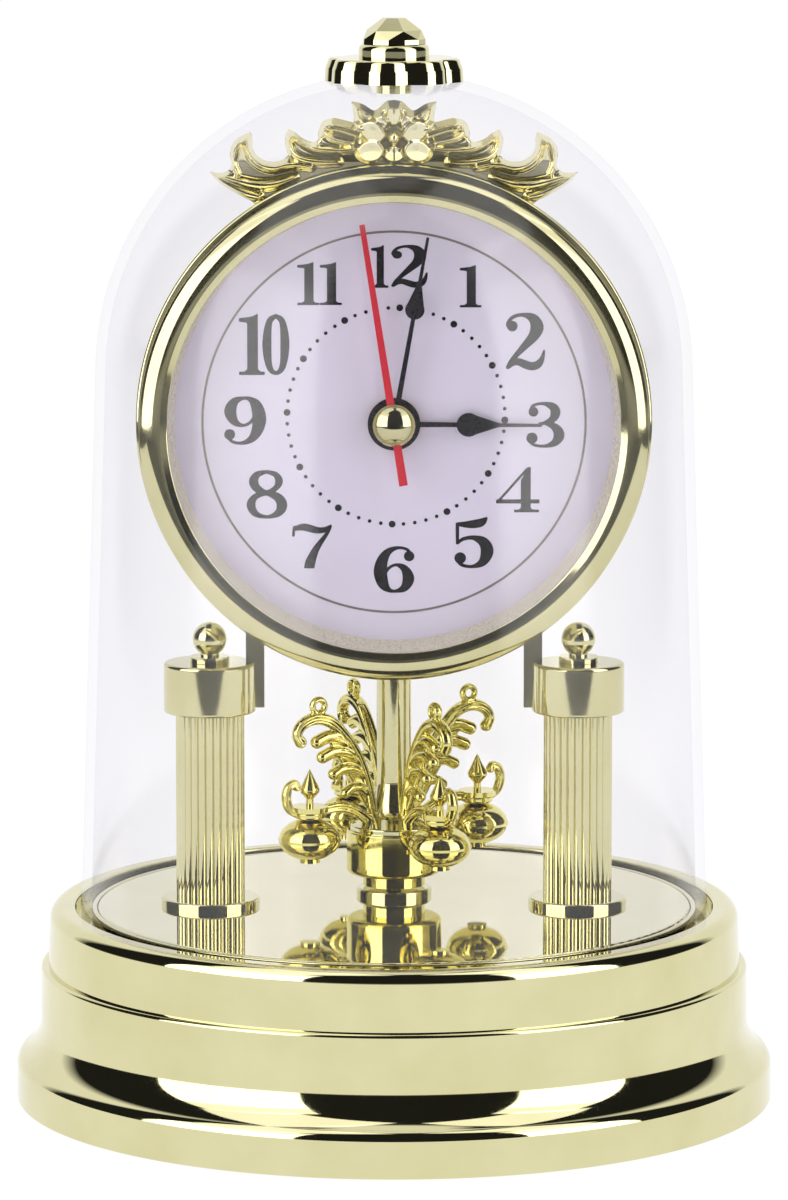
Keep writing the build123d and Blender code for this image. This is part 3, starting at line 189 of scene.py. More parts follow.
# Finish of each slot: light and deep tone, range of roughness, share of metal, scale of the patches,
# scale and depth of the grain, and, where there is one, scale and depth of a wave.
FINISHES = {
    "gold_plating": (GOLD_LIGHT, GOLD_DEEP, (0.03, 0.075), 1.0, 70.0, 1400.0, 2e-7, (38.0, 3.0e-5)),
    "gold_hub": ((0.83, 0.76, 0.30), (0.76, 0.68, 0.22), (0.035, 0.08), 1.0, 110.0, 1600.0, 6e-7,
                 (60.0, 2.5e-5)),
    "gold_mirror": ((0.80, 0.765, 0.505), (0.76, 0.72, 0.455), (0.025, 0.05), 1.0, 60.0, 1500.0, 1e-6,
                    (30.0, 3.0e-5)),
    "dial_print": ((0.70, 0.665, 0.785), (0.68, 0.645, 0.765), (0.42, 0.58), 0.0, 160.0, 5200.0, 4e-6),
    "cream_plastic": ((0.70, 0.67, 0.52), (0.64, 0.60, 0.44), (0.22, 0.36), 0.0, 80.0, 2400.0, 4e-6),
    "black_paint": ((0.012, 0.011, 0.014), (0.020, 0.018, 0.022), (0.22, 0.38), 0.0, 200.0, 3000.0,
                    3e-6),
    "red_paint": ((0.62, 0.012, 0.030), (0.52, 0.010, 0.026), (0.28, 0.42), 0.0, 200.0, 3000.0, 3e-6),
    "brass": ((0.72, 0.54, 0.20), (0.62, 0.44, 0.15), (0.16, 0.32), 1.0, 300.0, 2600.0, 3e-6),
    "steel": ((0.62, 0.62, 0.60), (0.50, 0.50, 0.50), (0.18, 0.36), 1.0, 260.0, 2600.0, 3e-6),
    "copper": ((0.66, 0.29, 0.14), (0.54, 0.21, 0.09), (0.22, 0.40), 1.0, 600.0, 3000.0, 4e-6),
    "black_plastic": ((0.020, 0.020, 0.021), (0.030, 0.030, 0.031), (0.36, 0.55), 0.0, 120.0, 2600.0,
                      8e-6),
    "white_plastic": ((0.78, 0.78, 0.76), (0.72, 0.72, 0.69), (0.30, 0.46), 0.0, 120.0, 2600.0, 5e-6),
    "green_board": ((0.03, 0.16, 0.06), (0.02, 0.11, 0.045), (0.26, 0.44), 0.0, 420.0, 1800.0, 6e-6),
    "cell_wrap": ((0.10, 0.10, 0.11), (0.06, 0.06, 0.065), (0.20, 0.34), 0.0, 120.0, 1600.0, 4e-6),
    "rubber": ((0.045, 0.044, 0.042), (0.030, 0.030, 0.029), (0.62, 0.84), 0.0, 200.0, 1800.0, 1.4e-5),
}
SLOT_MATERIALS = {slot: surface(slot + "_finish", *row) for slot, row in FINISHES.items()}
SLOT_MATERIALS["dome_plastic"] = clear_plastic("dome_plastic_finish", ior=1.66, rough=(0.13, 0.18))
SLOT_MATERIALS["clear_plastic"] = clear_plastic("clear_plastic_finish", ior=1.40, rough=(0.10, 0.14))

for subpart in frame["record"]["subparts"]:
    node = frame["nodes"][subpart["node"]]
    node.data.materials.clear()
    node.data.materials.append(SLOT_MATERIALS[subpart["material_slot"]])

# The crest is the same gold as the rest of the plating, written paler and creamier here as painted
# highlight for the light its leaves reflect; its higher roughness only blurs those reflections.
CREST_PAINTED_HIGHLIGHT_PLATING = surface("crest_painted_highlight_plating", (0.90, 0.85, 0.56), (0.82, 0.765, 0.46), (0.10, 0.16), 1.0,
                        90.0, 1400.0, 1e-6)
BEZEL_PLATING = surface("bezel_plating", GOLD_LIGHT, GOLD_DEEP, (0.05, 0.09), 1.0,
                        70.0, 1400.0, 0.0, (38.0, 3.0e-5))
INK = surface("numeral_ink", (0.010, 0.010, 0.013), (0.022, 0.020, 0.024), (0.16, 0.30), 0.0,
              300.0, 3600.0, 2e-6)
RING_INK = surface("ring_ink", (0.16, 0.125, 0.12), (0.24, 0.20, 0.19), (0.30, 0.46), 0.0,
                   300.0, 3600.0, 2e-6)

# Mesh helpers


def new_object(mesh, body, slot, material=None):
    """A piece named after its mesh, in the slot's own material where no other is given."""
    piece = bpy.data.objects.new(mesh.name, mesh)
    scene.collection.objects.link(piece)
    mesh.materials.append(material or SLOT_MATERIALS[slot])
    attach(piece, body)
    return piece


def finished_mesh(builder, name, sharp=None):
    """The built faces as a mesh, smooth up to the sharp angle where one is given."""
    bmesh.ops.recalc_face_normals(builder, faces=builder.faces[:])
    if sharp is not None:
        for face in builder.faces:
            face.smooth = True
        for edge in builder.edges:
            edge.smooth = edge.calc_face_angle(0.0) < math.radians(sharp)
    mesh = bpy.data.meshes.new(name)
    builder.to_mesh(mesh)
    builder.free()
    return mesh


def smooth_path(points, steps):
    """Catmull-Rom points through the given points, with any further columns carried along."""
    given = np.array(points, float)
    ends = np.vstack([2 * given[0] - given[1], given, 2 * given[-1] - given[-2]])
    out = []
    for k in range(len(given) - 1):
        a, b, c, d = ends[k:k + 4]
        for t in np.linspace(0.0, 1.0, steps, endpoint=False):
            out.append(0.5 * (2 * b + (c - a) * t + (2 * a - 5 * b + 4 * c - d) * t**2
                              + (3 * b - a - 3 * c + d) * t**3))
    out.append(given[-1])
    return np.array(out)


def cut_cells(depth):
    """Corners of each grid cell cut to where depth is above zero: two grid points and a share."""
    inside = depth > 0
    touched = inside[:-1, :-1] | inside[1:, :-1] | inside[:-1, 1:] | inside[1:, 1:]
    for r, c in zip(*np.nonzero(touched)):
        ring = ((r, c), (r, c + 1), (r + 1, c + 1), (r + 1, c))
        corners = []
        for k, p in enumerate(ring):
            q = ring[(k + 1) % 4]
            if inside[p]:
                corners.append((p, p, 0.0))
            if inside[p] != inside[q]:
                a, b = min(p, q), max(p, q)
                corners.append((a, b, depth[a] / (depth[a] - depth[b])))
        yield corners


def between(values, a, b, share):
    return values[a] + share * (values[b] - values[a])


# Printed dial

DIAL_FRONT = 10.0
DIAL_HEIGHT = 109.2
INK_THICK = 0.04
PRINT_CELL = 0.075
STROKE_STEPS, LEAST_STROKE_WIDTH = 22, 0.012
WELD_SHARE, FLAT_ANGLE = 0.12, 3.0


def stroke_field(grid_x, grid_y, strokes, balls, plates):
    """Signed distance to strokes (x, y, width), balls (x, y, radius) and convex plates, joined."""
    field = np.full(grid_x.shape, FAR)
    for stroke in strokes:
        for x, y, width in smooth_path(stroke, STROKE_STEPS):
            half = max(width, LEAST_STROKE_WIDTH) / 2
            field = np.minimum(field, np.hypot(grid_x - x, grid_y - y) - half)
    for x, y, radius in balls:
        field = np.minimum(field, np.hypot(grid_x - x, grid_y - y) - radius)
    for plate in plates:
        inside = np.full(grid_x.shape, -FAR)
        for (xa, ya), (xb, yb) in zip(plate, plate[1:] + plate[:1]):
            beside = (grid_x - xa) * (yb - ya) - (grid_y - ya) * (xb - xa)
            inside = np.maximum(inside, beside / math.hypot(xb - xa, yb - ya))
        field = np.minimum(field, inside)
    return field


def flat_mesh(name, xs, ys, field, front, thick=INK_THICK):
    """The region where the field is negative, as a closed plate with its back at the given depth."""
    builder = bmesh.new()
    seen = {}
    for cell in cut_cells(-field):
        for a, b, share in cell:
            if (a, b) not in seen:
                x, y = between(xs, a[1], b[1], share), between(ys, a[0], b[0], share)
                seen[a, b] = builder.verts.new((x * MM, -front * MM, (DIAL_HEIGHT + y) * MM))
        builder.faces.new([seen[a, b] for a, b, _ in cell])
    bmesh.ops.remove_doubles(builder, verts=builder.verts[:], dist=PRINT_CELL * MM * WELD_SHARE)
    bmesh.ops.dissolve_limit(builder, angle_limit=math.radians(FLAT_ANGLE), verts=builder.verts[:],
                             edges=builder.edges[:])
    bmesh.ops.triangulate(builder, faces=builder.faces[:])
    grown = bmesh.ops.extrude_face_region(builder, geom=builder.faces[:])
    raised = [g for g in grown["geom"] if isinstance(g, bmesh.types.BMVert)]
    bmesh.ops.translate(builder, vec=(0, -thick * MM, 0), verts=raised)
    return finished_mesh(builder, name)


def slab(left, low, right, high):
    return [(left, low), (right, low), (right, high), (left, high)]


# Each figure stands on 0 and is 1 high: strokes, balls, plates and its width.
FIGURES = {
    "0": ([[(0.265, 0.975, 0.05), (0.13, 0.86, 0.11), (0.083, 0.5, 0.165), (0.13, 0.14, 0.11),
            (0.265, 0.025, 0.05), (0.40, 0.14, 0.11), (0.447, 0.5, 0.165), (0.40, 0.86, 0.11),
            (0.265, 0.975, 0.05)]], [], [], 0.53),
    "1": ([[(0.02, 0.905, 0.05), (0.10, 0.905, 0.06), (0.22, 0.90, 0.10)]], [],
          [[(0.165, 0.02), (0.365, 0.02), (0.365, 1.0), (0.165, 0.92)], slab(0.0, 0.0, 0.50, 0.040),
           [(0.08, 0.03), (0.44, 0.03), (0.365, 0.085), (0.165, 0.085)]], 0.50),
    "2": ([[(0.13, 0.73, 0.04), (0.035, 0.80, 0.05), (0.12, 0.93, 0.05), (0.30, 0.975, 0.055),
            (0.48, 0.91, 0.15), (0.55, 0.76, 0.215), (0.49, 0.60, 0.17), (0.36, 0.45, 0.12),
            (0.20, 0.28, 0.08), (0.08, 0.13, 0.06), (0.045, 0.045, 0.05)],
           [(0.04, 0.05, 0.06), (0.12, 0.12, 0.09), (0.22, 0.145, 0.11), (0.34, 0.10, 0.13),
            (0.46, 0.065, 0.13), (0.57, 0.10, 0.12), (0.64, 0.20, 0.07), (0.675, 0.34, 0.022)]],
          [(0.115, 0.775, 0.085)], [], 0.69),
    "3": ([[(0.10, 0.77, 0.05), (0.14, 0.92, 0.05), (0.36, 0.972, 0.055), (0.58, 0.90, 0.16),
            (0.64, 0.77, 0.20), (0.57, 0.62, 0.14), (0.38, 0.535, 0.055), (0.30, 0.53, 0.05)],
           [(0.30, 0.53, 0.05), (0.44, 0.525, 0.06), (0.64, 0.44, 0.16), (0.72, 0.27, 0.225),
            (0.62, 0.10, 0.14), (0.40, 0.028, 0.055), (0.16, 0.06, 0.05), (0.05, 0.18, 0.05)]],
          [(0.155, 0.79, 0.10), (0.125, 0.205, 0.115)], [], 0.83),
    "4": ([], [],
          [slab(0.55, 0.02, 0.755, 0.74), [(0.55, 0.70), (0.755, 0.70), (0.755, 1.0), (0.70, 1.0)],
           [(0.0, 0.225), (0.055, 0.225), (0.72, 0.985), (0.67, 0.985)], slab(0.0, 0.20, 0.95, 0.275),
           slab(0.40, 0.0, 0.94, 0.045), [(0.47, 0.03), (0.84, 0.03), (0.755, 0.085), (0.55, 0.085)]],
          0.95),
    "5": ([[(0.055, 0.86, 0.055), (0.055, 0.66, 0.05), (0.055, 0.50, 0.045)],
           [(0.055, 0.865, 0.05), (0.20, 0.855, 0.10), (0.38, 0.865, 0.15), (0.53, 0.90, 0.135),
            (0.62, 0.98, 0.035)],
           [(0.055, 0.49, 0.045), (0.17, 0.57, 0.055), (0.36, 0.595, 0.075), (0.56, 0.51, 0.18),
            (0.635, 0.33, 0.235), (0.55, 0.12, 0.15), (0.36, 0.03, 0.055), (0.15, 0.055, 0.05),
            (0.04, 0.16, 0.05)]], [(0.11, 0.195, 0.105)], [], 0.75),
    "6": ([[(0.80, 0.74, 0.05), (0.74, 0.92, 0.05), (0.53, 0.972, 0.055), (0.32, 0.89, 0.13),
            (0.19, 0.70, 0.22), (0.145, 0.45, 0.27), (0.20, 0.20, 0.22), (0.32, 0.06, 0.10),
            (0.47, 0.028, 0.055), (0.66, 0.10, 0.15), (0.75, 0.30, 0.235), (0.67, 0.51, 0.15),
            (0.50, 0.60, 0.055), (0.34, 0.54, 0.05), (0.24, 0.40, 0.05)]], [(0.765, 0.79, 0.105)], [],
          0.90),
    "7": ([[(0.03, 0.74, 0.045), (0.035, 0.84, 0.05), (0.05, 0.93, 0.05)],
           [(0.045, 0.88, 0.06), (0.14, 0.915, 0.11), (0.28, 0.93, 0.15), (0.45, 0.885, 0.15),
            (0.60, 0.855, 0.125), (0.75, 0.88, 0.10), (0.87, 0.965, 0.035)],
           [(0.86, 0.93, 0.05), (0.78, 0.78, 0.07), (0.65, 0.60, 0.10), (0.53, 0.42, 0.14),
            (0.44, 0.22, 0.19), (0.40, 0.11, 0.215)]], [],
          [[(0.275, 0.0), (0.495, 0.0), (0.508, 0.13), (0.295, 0.13)]], 0.91),
    "8": ([[(0.43, 0.972, 0.055), (0.24, 0.91, 0.12), (0.165, 0.77, 0.175), (0.24, 0.62, 0.15),
            (0.43, 0.53, 0.10), (0.62, 0.63, 0.10), (0.69, 0.77, 0.145), (0.62, 0.91, 0.10),
            (0.43, 0.972, 0.055)],
           [(0.43, 0.535, 0.08), (0.20, 0.45, 0.11), (0.11, 0.28, 0.165), (0.20, 0.10, 0.12),
            (0.43, 0.028, 0.055), (0.66, 0.10, 0.13), (0.75, 0.27, 0.205), (0.66, 0.44, 0.16),
            (0.43, 0.535, 0.08)]], [], [], 0.86),
}
# Value, place across and up from the centre and height in mm, and the gap between two figures as a
# share of the height.
NUMERALS = (
    ("12", 0.85, 24.38, 6.56, 0.07), ("1", 11.89, 21.31, 6.52, 0.0), ("2", 20.39, 12.65, 8.82, 0.0),
    ("3", 23.52, -0.35, 7.06, 0.0), ("4", 19.29, -10.53, 6.99, 0.0), ("5", 12.45, -18.84, 8.00, 0.0),
    ("6", 0.08, -23.08, 7.24, 0.0), ("7", -12.73, -19.39, 6.92, 0.0), ("8", -19.87, -11.25, 7.53, 0.0),
    ("9", -23.22, 0.30, 7.46, 0.0), ("10", -20.15, 12.23, 9.41, -0.03),
    ("11", -11.54, 21.72, 6.61, 0.03),
)
# Numerals set narrower than the rest, figures drawn in or out, how much bolder all are printed, and
# the margin around a numeral.
NARROWED = {"10": 0.82}
FIGURE_STRETCH = {"12": (0.79, 1.25)}
BOLDER = 0.008
FIGURE_MARGIN = 0.06


def figure_field(figure, grid_x, grid_y):
    """Signed distance to one figure, where the nine is the six turned over."""
    if figure == "9":
        strokes, balls, plates, width = FIGURES["6"]
        return stroke_field(width - grid_x, 1.0 - grid_y, strokes, balls, plates)
    strokes, balls, plates, _ = FIGURES[figure]
    return stroke_field(grid_x, grid_y, strokes, balls, plates)


for value, across, up, height, gap in NUMERALS:
    stretches = FIGURE_STRETCH.get(value, (1.0,) * len(value))
    widths = [FIGURES["6" if f == "9" else f][3] * s for f, s in zip(value, stretches)]
    squeeze = NARROWED.get(value, 1.0)
    total = sum(widths) + gap * (len(value) - 1)
    count_x = int((total + 2 * FIGURE_MARGIN) * squeeze * height / PRINT_CELL)
    count_y = int((1 + 2 * FIGURE_MARGIN) * height / PRINT_CELL)
    unit_x = np.linspace(-FIGURE_MARGIN, total + FIGURE_MARGIN, count_x)
    unit_y = np.linspace(-FIGURE_MARGIN, 1 + FIGURE_MARGIN, count_y)
    grid_x, grid_y = np.meshgrid(unit_x, unit_y)
    field = np.full(grid_x.shape, FAR)
    start = 0.0
    for figure, width, stretch in zip(value, widths, stretches):
        field = np.minimum(field, figure_field(figure, (grid_x - start) / stretch, grid_y))
        start += width + gap
    mesh = flat_mesh("numeral_" + value, across + (unit_x - total / 2) * squeeze * height,
                     up + (unit_y - 0.5) * height, field - BOLDER, DIAL_FRONT)
    new_object(mesh, "frame", "black_paint", INK)


def ring_plate(builder, radius_in, radius_out, centre, steps):
    """A printed ring, or a disc where the inner radius is zero, as a closed plate."""
    loops = []
    for depth in (DIAL_FRONT, DIAL_FRONT + INK_THICK):
        for radius in (radius_in, radius_out):
            loop = []
            for k in range(steps if radius else 0):
                angle = 2 * math.pi * k / steps
                x = centre[0] + radius * math.cos(angle)
                z = DIAL_HEIGHT + centre[1] + radius * math.sin(angle)
                loop.append(builder.verts.new((x * MM, -depth * MM, z * MM)))
            loops.append(loop)
    back_in, back_out, front_in, front_out = loops
    for k in range(steps):
        n = (k + 1) % steps
        builder.faces.new((back_out[k], back_out[n], front_out[n], front_out[k]))
        if radius_in:
            builder.faces.new((front_out[k], front_out[n], front_in[n], front_in[k]))
            builder.faces.new((front_in[k], front_in[n], back_in[n], back_in[k]))
            builder.faces.new((back_in[k], back_in[n], back_out[n], back_out[k]))
    if not radius_in:
        builder.faces.new(front_out)
        builder.faces.new(back_out[::-1])


PRINTED_RING, PRINTED_RING_STEPS = (29.62, 29.98), 240
DOT_RING_RADIUS = 16.95
DOT_RING_CENTRE = (0.30, 1.0)
HOUR_DOT, MINUTE_DOT, DOT_STEPS = 0.54, 0.29, 20
DOT_RING_TURN = 2.0

ring_builder = bmesh.new()
ring_plate(ring_builder, *PRINTED_RING, (0, 0), PRINTED_RING_STEPS)
new_object(finished_mesh(ring_builder, "printed_ring"), "frame", "black_paint", RING_INK)

dot_builder = bmesh.new()
for minute in range(60):
    angle = math.radians(6 * minute + DOT_RING_TURN)
    centre = (DOT_RING_CENTRE[0] + DOT_RING_RADIUS * math.sin(angle),
              DOT_RING_CENTRE[1] + DOT_RING_RADIUS * math.cos(angle))
    ring_plate(dot_builder, 0, MINUTE_DOT if minute % 5 else HOUR_DOT, centre, DOT_STEPS)
new_object(finished_mesh(dot_builder, "minute_dots"), "frame", "black_paint", INK)

# Second hand

SECOND_DEPTH, SECOND_THICK, SECOND_ANGLE = 13.8, 0.4, -9.0
# How far the blade's corners stay inside the solid's reach at the tip and the tail.
TIP_SPARE, TAIL_SPARE = 0.1, 0.16
SECOND_TIP_WIDTH, SECOND_TAIL_WIDTH = 0.84, 1.34
SECOND_HUB_RADIUS, SECOND_BORE = 2.6, 0.55
HAND_MARGIN, HAND_LEAN_SHARE = 1, 0.2
lean = math.radians(SECOND_ANGLE)
second_low, second_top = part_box("second_hand")[0][2] / MM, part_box("second_hand")[1][2] / MM
second_length = (second_top - DIAL_HEIGHT) / math.cos(lean) - TIP_SPARE
second_tail = (DIAL_HEIGHT - second_low) / math.cos(lean) - TAIL_SPARE
blade = []
for along, half in ((-second_tail, SECOND_TAIL_WIDTH / 2), (second_length, SECOND_TIP_WIDTH / 2)):
    middle = Vector((along * math.sin(lean), along * math.cos(lean)))
    beside = Vector((half * math.cos(lean), -half * math.sin(lean)))
    blade.append((middle - beside, middle + beside))
blade_corners = [tuple(blade[0][0]), tuple(blade[0][1]), tuple(blade[1][1]), tuple(blade[1][0])]
hand_x = np.arange(-second_length * HAND_LEAN_SHARE - HAND_MARGIN, SECOND_HUB_RADIUS + HAND_MARGIN,
                   PRINT_CELL)
hand_y = np.arange(-second_tail - HAND_MARGIN, second_length + HAND_MARGIN, PRINT_CELL)
grid_x, grid_y = np.meshgrid(hand_x, hand_y)
field = stroke_field(grid_x, grid_y, [], [(0.0, 0.0, SECOND_HUB_RADIUS)], [blade_corners])
field = np.maximum(field, SECOND_BORE - np.hypot(grid_x, grid_y))
second_mesh = flat_mesh("second_hand_narrow", hand_x, hand_y, field, SECOND_DEPTH, SECOND_THICK)
second_piece = new_object(second_mesh, "seconds", "red_paint")
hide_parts("second_hand")

# Turned and cast shapes

LEAST_SPAN = 1e-12
RELIEF_SHARP, LATHE_SHARP = 50.0, 28.0
LEAST_ARC_STEPS, ARC_STEPS_PER_MM = 9, 6
LATHE_WELD = 1e-7


def stroke_reach(grid_u, grid_v, points, steps):
    """Distance to a bent stroke (across, up, width) as a share of its half width, and that half."""
    reach = np.full(grid_u.shape, FAR)
    half = np.full(grid_u.shape, 1.0)
    for u, v, width in smooth_path(points, steps):
        here = np.hypot(grid_u - u, grid_v - v) / (width / 2)
        nearer = here < reach
        reach = np.where(nearer, here, reach)
        half = np.where(nearer, width / 2, half)
    return reach, half


def bowl_reach(grid_u, grid_v, centre, radii, turn):
    """Distance from the middle of a turned oval as a share of its radii."""
    across, up = grid_u - centre[0], grid_v - centre[1]
    along = (across * math.cos(turn) + up * math.sin(turn)) / radii[0]
    beside = (up * math.cos(turn) - across * math.sin(turn)) / radii[1]
    return np.hypot(along, beside)


def outline_depth(grid_u, grid_v, corners):
    """How far inside a closed outline each point lies; below zero outside it."""
    nearest = np.full(grid_u.shape, FAR)
    inside = np.zeros(grid_u.shape, bool)
    for (ua, va), (ub, vb) in zip(corners, np.roll(corners, -1, axis=0)):
        du, dv = ub - ua, vb - va
        span = max(du ** 2 + dv ** 2, LEAST_SPAN)
        share = np.clip(((grid_u - ua) * du + (grid_v - va) * dv) / span, 0, 1)
        nearest = np.minimum(nearest, np.hypot(grid_u - ua - share * du, grid_v - va - share * dv))
        if va != vb:
            crosses = (va > grid_v) != (vb > grid_v)
            inside ^= crosses & (grid_u < du * (grid_v - va) / dv + ua)
    return np.where(inside, nearest, -nearest)


def section_height(section, reach):
    """Height share at each reach, from a table of (reach, height)."""
    places, values = zip(*section)
    return np.where(reach < 1, np.interp(reach, places, values), 0.0)


def eased(height, rounds):
    """A height grid blurred a little, so that valleys and crests are round."""
    for _ in range(rounds):
        wide = np.pad(height, 1, mode="edge")
        beside = wide[1:-1, :-2] + wide[1:-1, 2:] + wide[:-2, 1:-1] + wide[2:, 1:-1]
        height = 0.5 * height + 0.125 * beside
    return height


def relief_mesh(name, us, vs, depth, height, place, two_sided):
    """A closed casting where depth is above zero, with the relief on its face or on both sides."""
    builder = bmesh.new()
    fronts, backs = {}, {}
    for cell in cut_cells(depth):
        for a, b, share in cell:
            if (a, b) not in fronts:
                u, v = between(us, a[1], b[1], share), between(vs, a[0], b[0], share)
                h = between(height, a, b, share)
                fronts[a, b] = builder.verts.new(place(u, v, h))
                backs[a, b] = builder.verts.new(place(u, v, -h if two_sided else 0.0))
        builder.faces.new([fronts[a, b] for a, b, _ in cell])
        builder.faces.new([backs[a, b] for a, b, _ in reversed(cell)])
    under = {fronts[key]: backs[key] for key in fronts}
    for edge in [e for e in builder.edges if e.is_boundary and e.verts[0] in under]:
        first, second = edge.verts
        builder.faces.new((first, second, under[second], under[first]))
    return finished_mesh(builder, name, RELIEF_SHARP)


def rounded_line(corners):
    """Closed profile through corners of (radius, height) or (radius, height, rounding)."""
    out = []
    count = len(corners)
    for k, corner in enumerate(corners):
        here = Vector(corner[:2])
        rounding = corner[2] if len(corner) > 2 else 0.0
        if not rounding:
            out.append(tuple(here))
            continue
        before = (Vector(corners[k - 1][:2]) - here).normalized()
        after = (Vector(corners[(k + 1) % count][:2]) - here).normalized()
        half = before.angle(after) / 2
        centre = here + (before + after).normalized() * (rounding / math.sin(half))
        first = here + before * (rounding / math.tan(half)) - centre
        last = here + after * (rounding / math.tan(half)) - centre
        turn = first.angle_signed(last)
        for t in np.linspace(0, 1, max(LEAST_ARC_STEPS, int(ARC_STEPS_PER_MM * rounding))):
            angle = -turn * t
            out.append((centre.x + first.x * math.cos(angle) - first.y * math.sin(angle),
                        centre.y + first.x * math.sin(angle) + first.y * math.cos(angle)))
    return out


def held_line(line, hold=0.12):
    """The profile with a point near both ends of each long run, so that flat runs shade flat."""
    out = []
    for here, after in zip(line, line[1:] + line[:1]):
        run = Vector(after) - Vector(here)
        out.append(here)
        if run.length > 4 * hold:
            step = run.normalized() * hold
            out.append((here[0] + step.x, here[1] + step.y))
            out.append((after[0] - step.x, after[1] - step.y))
    return out


def upright(x, y, z):
    return (x * MM, y * MM, z * MM)


def on_dial_axis(u, v, w):
    """Places a point of a shape that is turned about the axis of the dial."""
    return (u * MM, -w * MM, (DIAL_HEIGHT + v) * MM)


def lathe(name, corners, steps, place=upright):
    """Skin of revolution of a closed profile, smooth but for its sharp corners."""
    line = held_line(rounded_line(corners))
    builder = bmesh.new()
    columns = []
    for j in range(steps):
        angle = 2 * math.pi * j / steps
        columns.append([builder.verts.new(place(r * math.cos(angle), r * math.sin(angle), z))
                        for r, z in line])
    count = len(line)
    for j in range(steps):
        n = (j + 1) % steps
        for k in range(count):
            m = (k + 1) % count
            builder.faces.new((columns[j][k], columns[n][k], columns[n][m], columns[j][m]))
    bmesh.ops.remove_doubles(builder, verts=builder.verts[:], dist=LATHE_WELD)
    return finished_mesh(builder, name, LATHE_SHARP)


# Base

# The corners of this and the other profiles are radius, height and, where there is one, rounding in mm.
BASE_PROFILE = (
    (57.8, 0.6), (60.0, 0.6, 0.3), (59.94, 7.27, 2.0), (56.15, 9.83, 6.6), (56.0, 22.0, 0.6),
    (54.9, 22.0), (54.5, 31.4, 2.0), (50.5, 31.4, 0.5), (50.5, 28.2), (47.9, 28.2), (47.9, 31.05, 0.2),
    (47.1, 31.05, 0.2), (47.1, 28.2), (45.6, 28.2), (45.6, 26.0), (52.3, 26.0), (52.3, 19.8),
    (53.8, 19.8), (53.8, 9.8), (57.8, 4.6),
)
base_mesh = lathe("base_shell_plated", BASE_PROFILE, steps=320)
base_piece = new_object(base_mesh, "frame", "gold_plating")
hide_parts("base_shell")

# Bezel, stem and capitals

BEZEL_RADIUS = 39.4
LENS_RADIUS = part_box("lens")[1][0] / MM
BEZEL_SEAT, LENS_FIT, LIP_REACH = LENS_RADIUS + 1.45, LENS_RADIUS + 0.05, LENS_RADIUS - 0.6
BEZEL_PROFILE = (
    (BEZEL_SEAT, 10.0), (BEZEL_RADIUS, 10.0), (BEZEL_RADIUS, 17.47, 0.35), (38.1, 18.8, 4.0),
    (36.1, 18.8, 0.3), (LIP_REACH, 18.4, 0.2), (LIP_REACH, 17.5), (LENS_FIT, 17.5), (LENS_FIT, 16.5),
    (BEZEL_SEAT, 16.5),
)
bezel_mesh = lathe("bezel_turned", BEZEL_PROFILE, steps=300, place=on_dial_axis)
bezel_piece = new_object(bezel_mesh, "frame", "gold_plating", BEZEL_PLATING)
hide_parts("bezel")

PENDULUM_Y = 8.0
HUB_TOP, STEM_TOP = 41.7, 69.4
STEM_PROFILE = (
    (0.9, HUB_TOP), (7.0, HUB_TOP), (7.0, HUB_TOP + 0.8, 0.3), (3.5, HUB_TOP + 2.6, 2.6),
    (2.75, HUB_TOP + 7.5, 6.0), (2.75, STEM_TOP, 0.2), (0.9, STEM_TOP),
)


def on_pendulum(x, y, z):
    return (x * MM, (y + PENDULUM_Y) * MM, z * MM)


stem_mesh = lathe("stem_turned", STEM_PROFILE, steps=96, place=on_pendulum)
stem_piece = new_object(stem_mesh, "pendulum", "gold_hub", SLOT_MATERIALS["gold_plating"])
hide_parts("pendulum_stem")

PILLAR_X = 29.1
CAPITAL_RADIUS, LEG_SIDE, LEG_FRONT = 7.3, 5.65, -0.05
CAPITAL_PROFILE = (
    (1.3, 62.65), (5.8, 62.65), (5.8, 62.0), (CAPITAL_RADIUS, 62.0, 0.4), (CAPITAL_RADIUS, 69.95, 0.5),
    (1.3, 69.95),
)


def on_pillar(side):
    """Places a point of the capital, cut back behind its middle where the leg of the case stands."""
    def place(x, y, z):
        inward = min(-side * x, LEG_SIDE) if y > LEG_FRONT else -side * x
        return ((side * PILLAR_X - side * inward) * MM, y * MM, z * MM)
    return place


for side, word in ((-1, "left"), (1, "right")):
    capital_mesh = lathe("capital_turned_" + word, CAPITAL_PROFILE, steps=128, place=on_pillar(side))
    capital_piece = new_object(capital_mesh, "frame", "gold_plating")
    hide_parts("capital_" + word)

# Finial of the dome

KNOB_LOW, KNOB_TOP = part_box("dome_knob")[0][2] / MM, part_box("dome_knob")[1][2] / MM
KNOB_RING_RADIUS, KNOB_RING_HEIGHT, KNOB_RING_ROUNDING = 5.5, 2.2, 0.9
SCREW_BORE = 1.55
GEM_SIDES, GEM_TURN = 6, -10.0
# Rings of the cut gem from its foot up: radius, and height above the ring below the gem.
GEM_FOOT, GEM_GIRDLE = (5.0, 0.0), (4.95, 0.75)
GEM_SHOULDER, GEM_TABLE = (4.3, 2.1), (1.75, KNOB_TOP - KNOB_LOW - KNOB_RING_HEIGHT)
PLATE_LOBES, PLATE_TURN, LOBE_DEPTH = 8, 35.0, 1.2
# Radius at which the notches between the lobes begin, and the run to their full depth.
NOTCH_START, NOTCH_RUN = 6, 3
PLATE_HEIGHT, PLATE_FOOT_RADIUS, PLATE_TOP_RADIUS = 2.4, 10.95, 10.2
PLATE_GAP, PLATE_UNDERSIDE = 0.05, (SCREW_BORE, 4.0, 6.0, 8.0, 9.6, PLATE_FOOT_RADIUS)
PLATE_DRAFT, PLATE_EDGE_DROP = 0.15, 1.6
CROWN_RADIUS = 46.85


def crown_at(radius):
    """Height of the dome's outside at a radius."""
    return KNOB_LOW - PLATE_HEIGHT - CROWN_RADIUS + math.sqrt(CROWN_RADIUS**2 - radius**2)


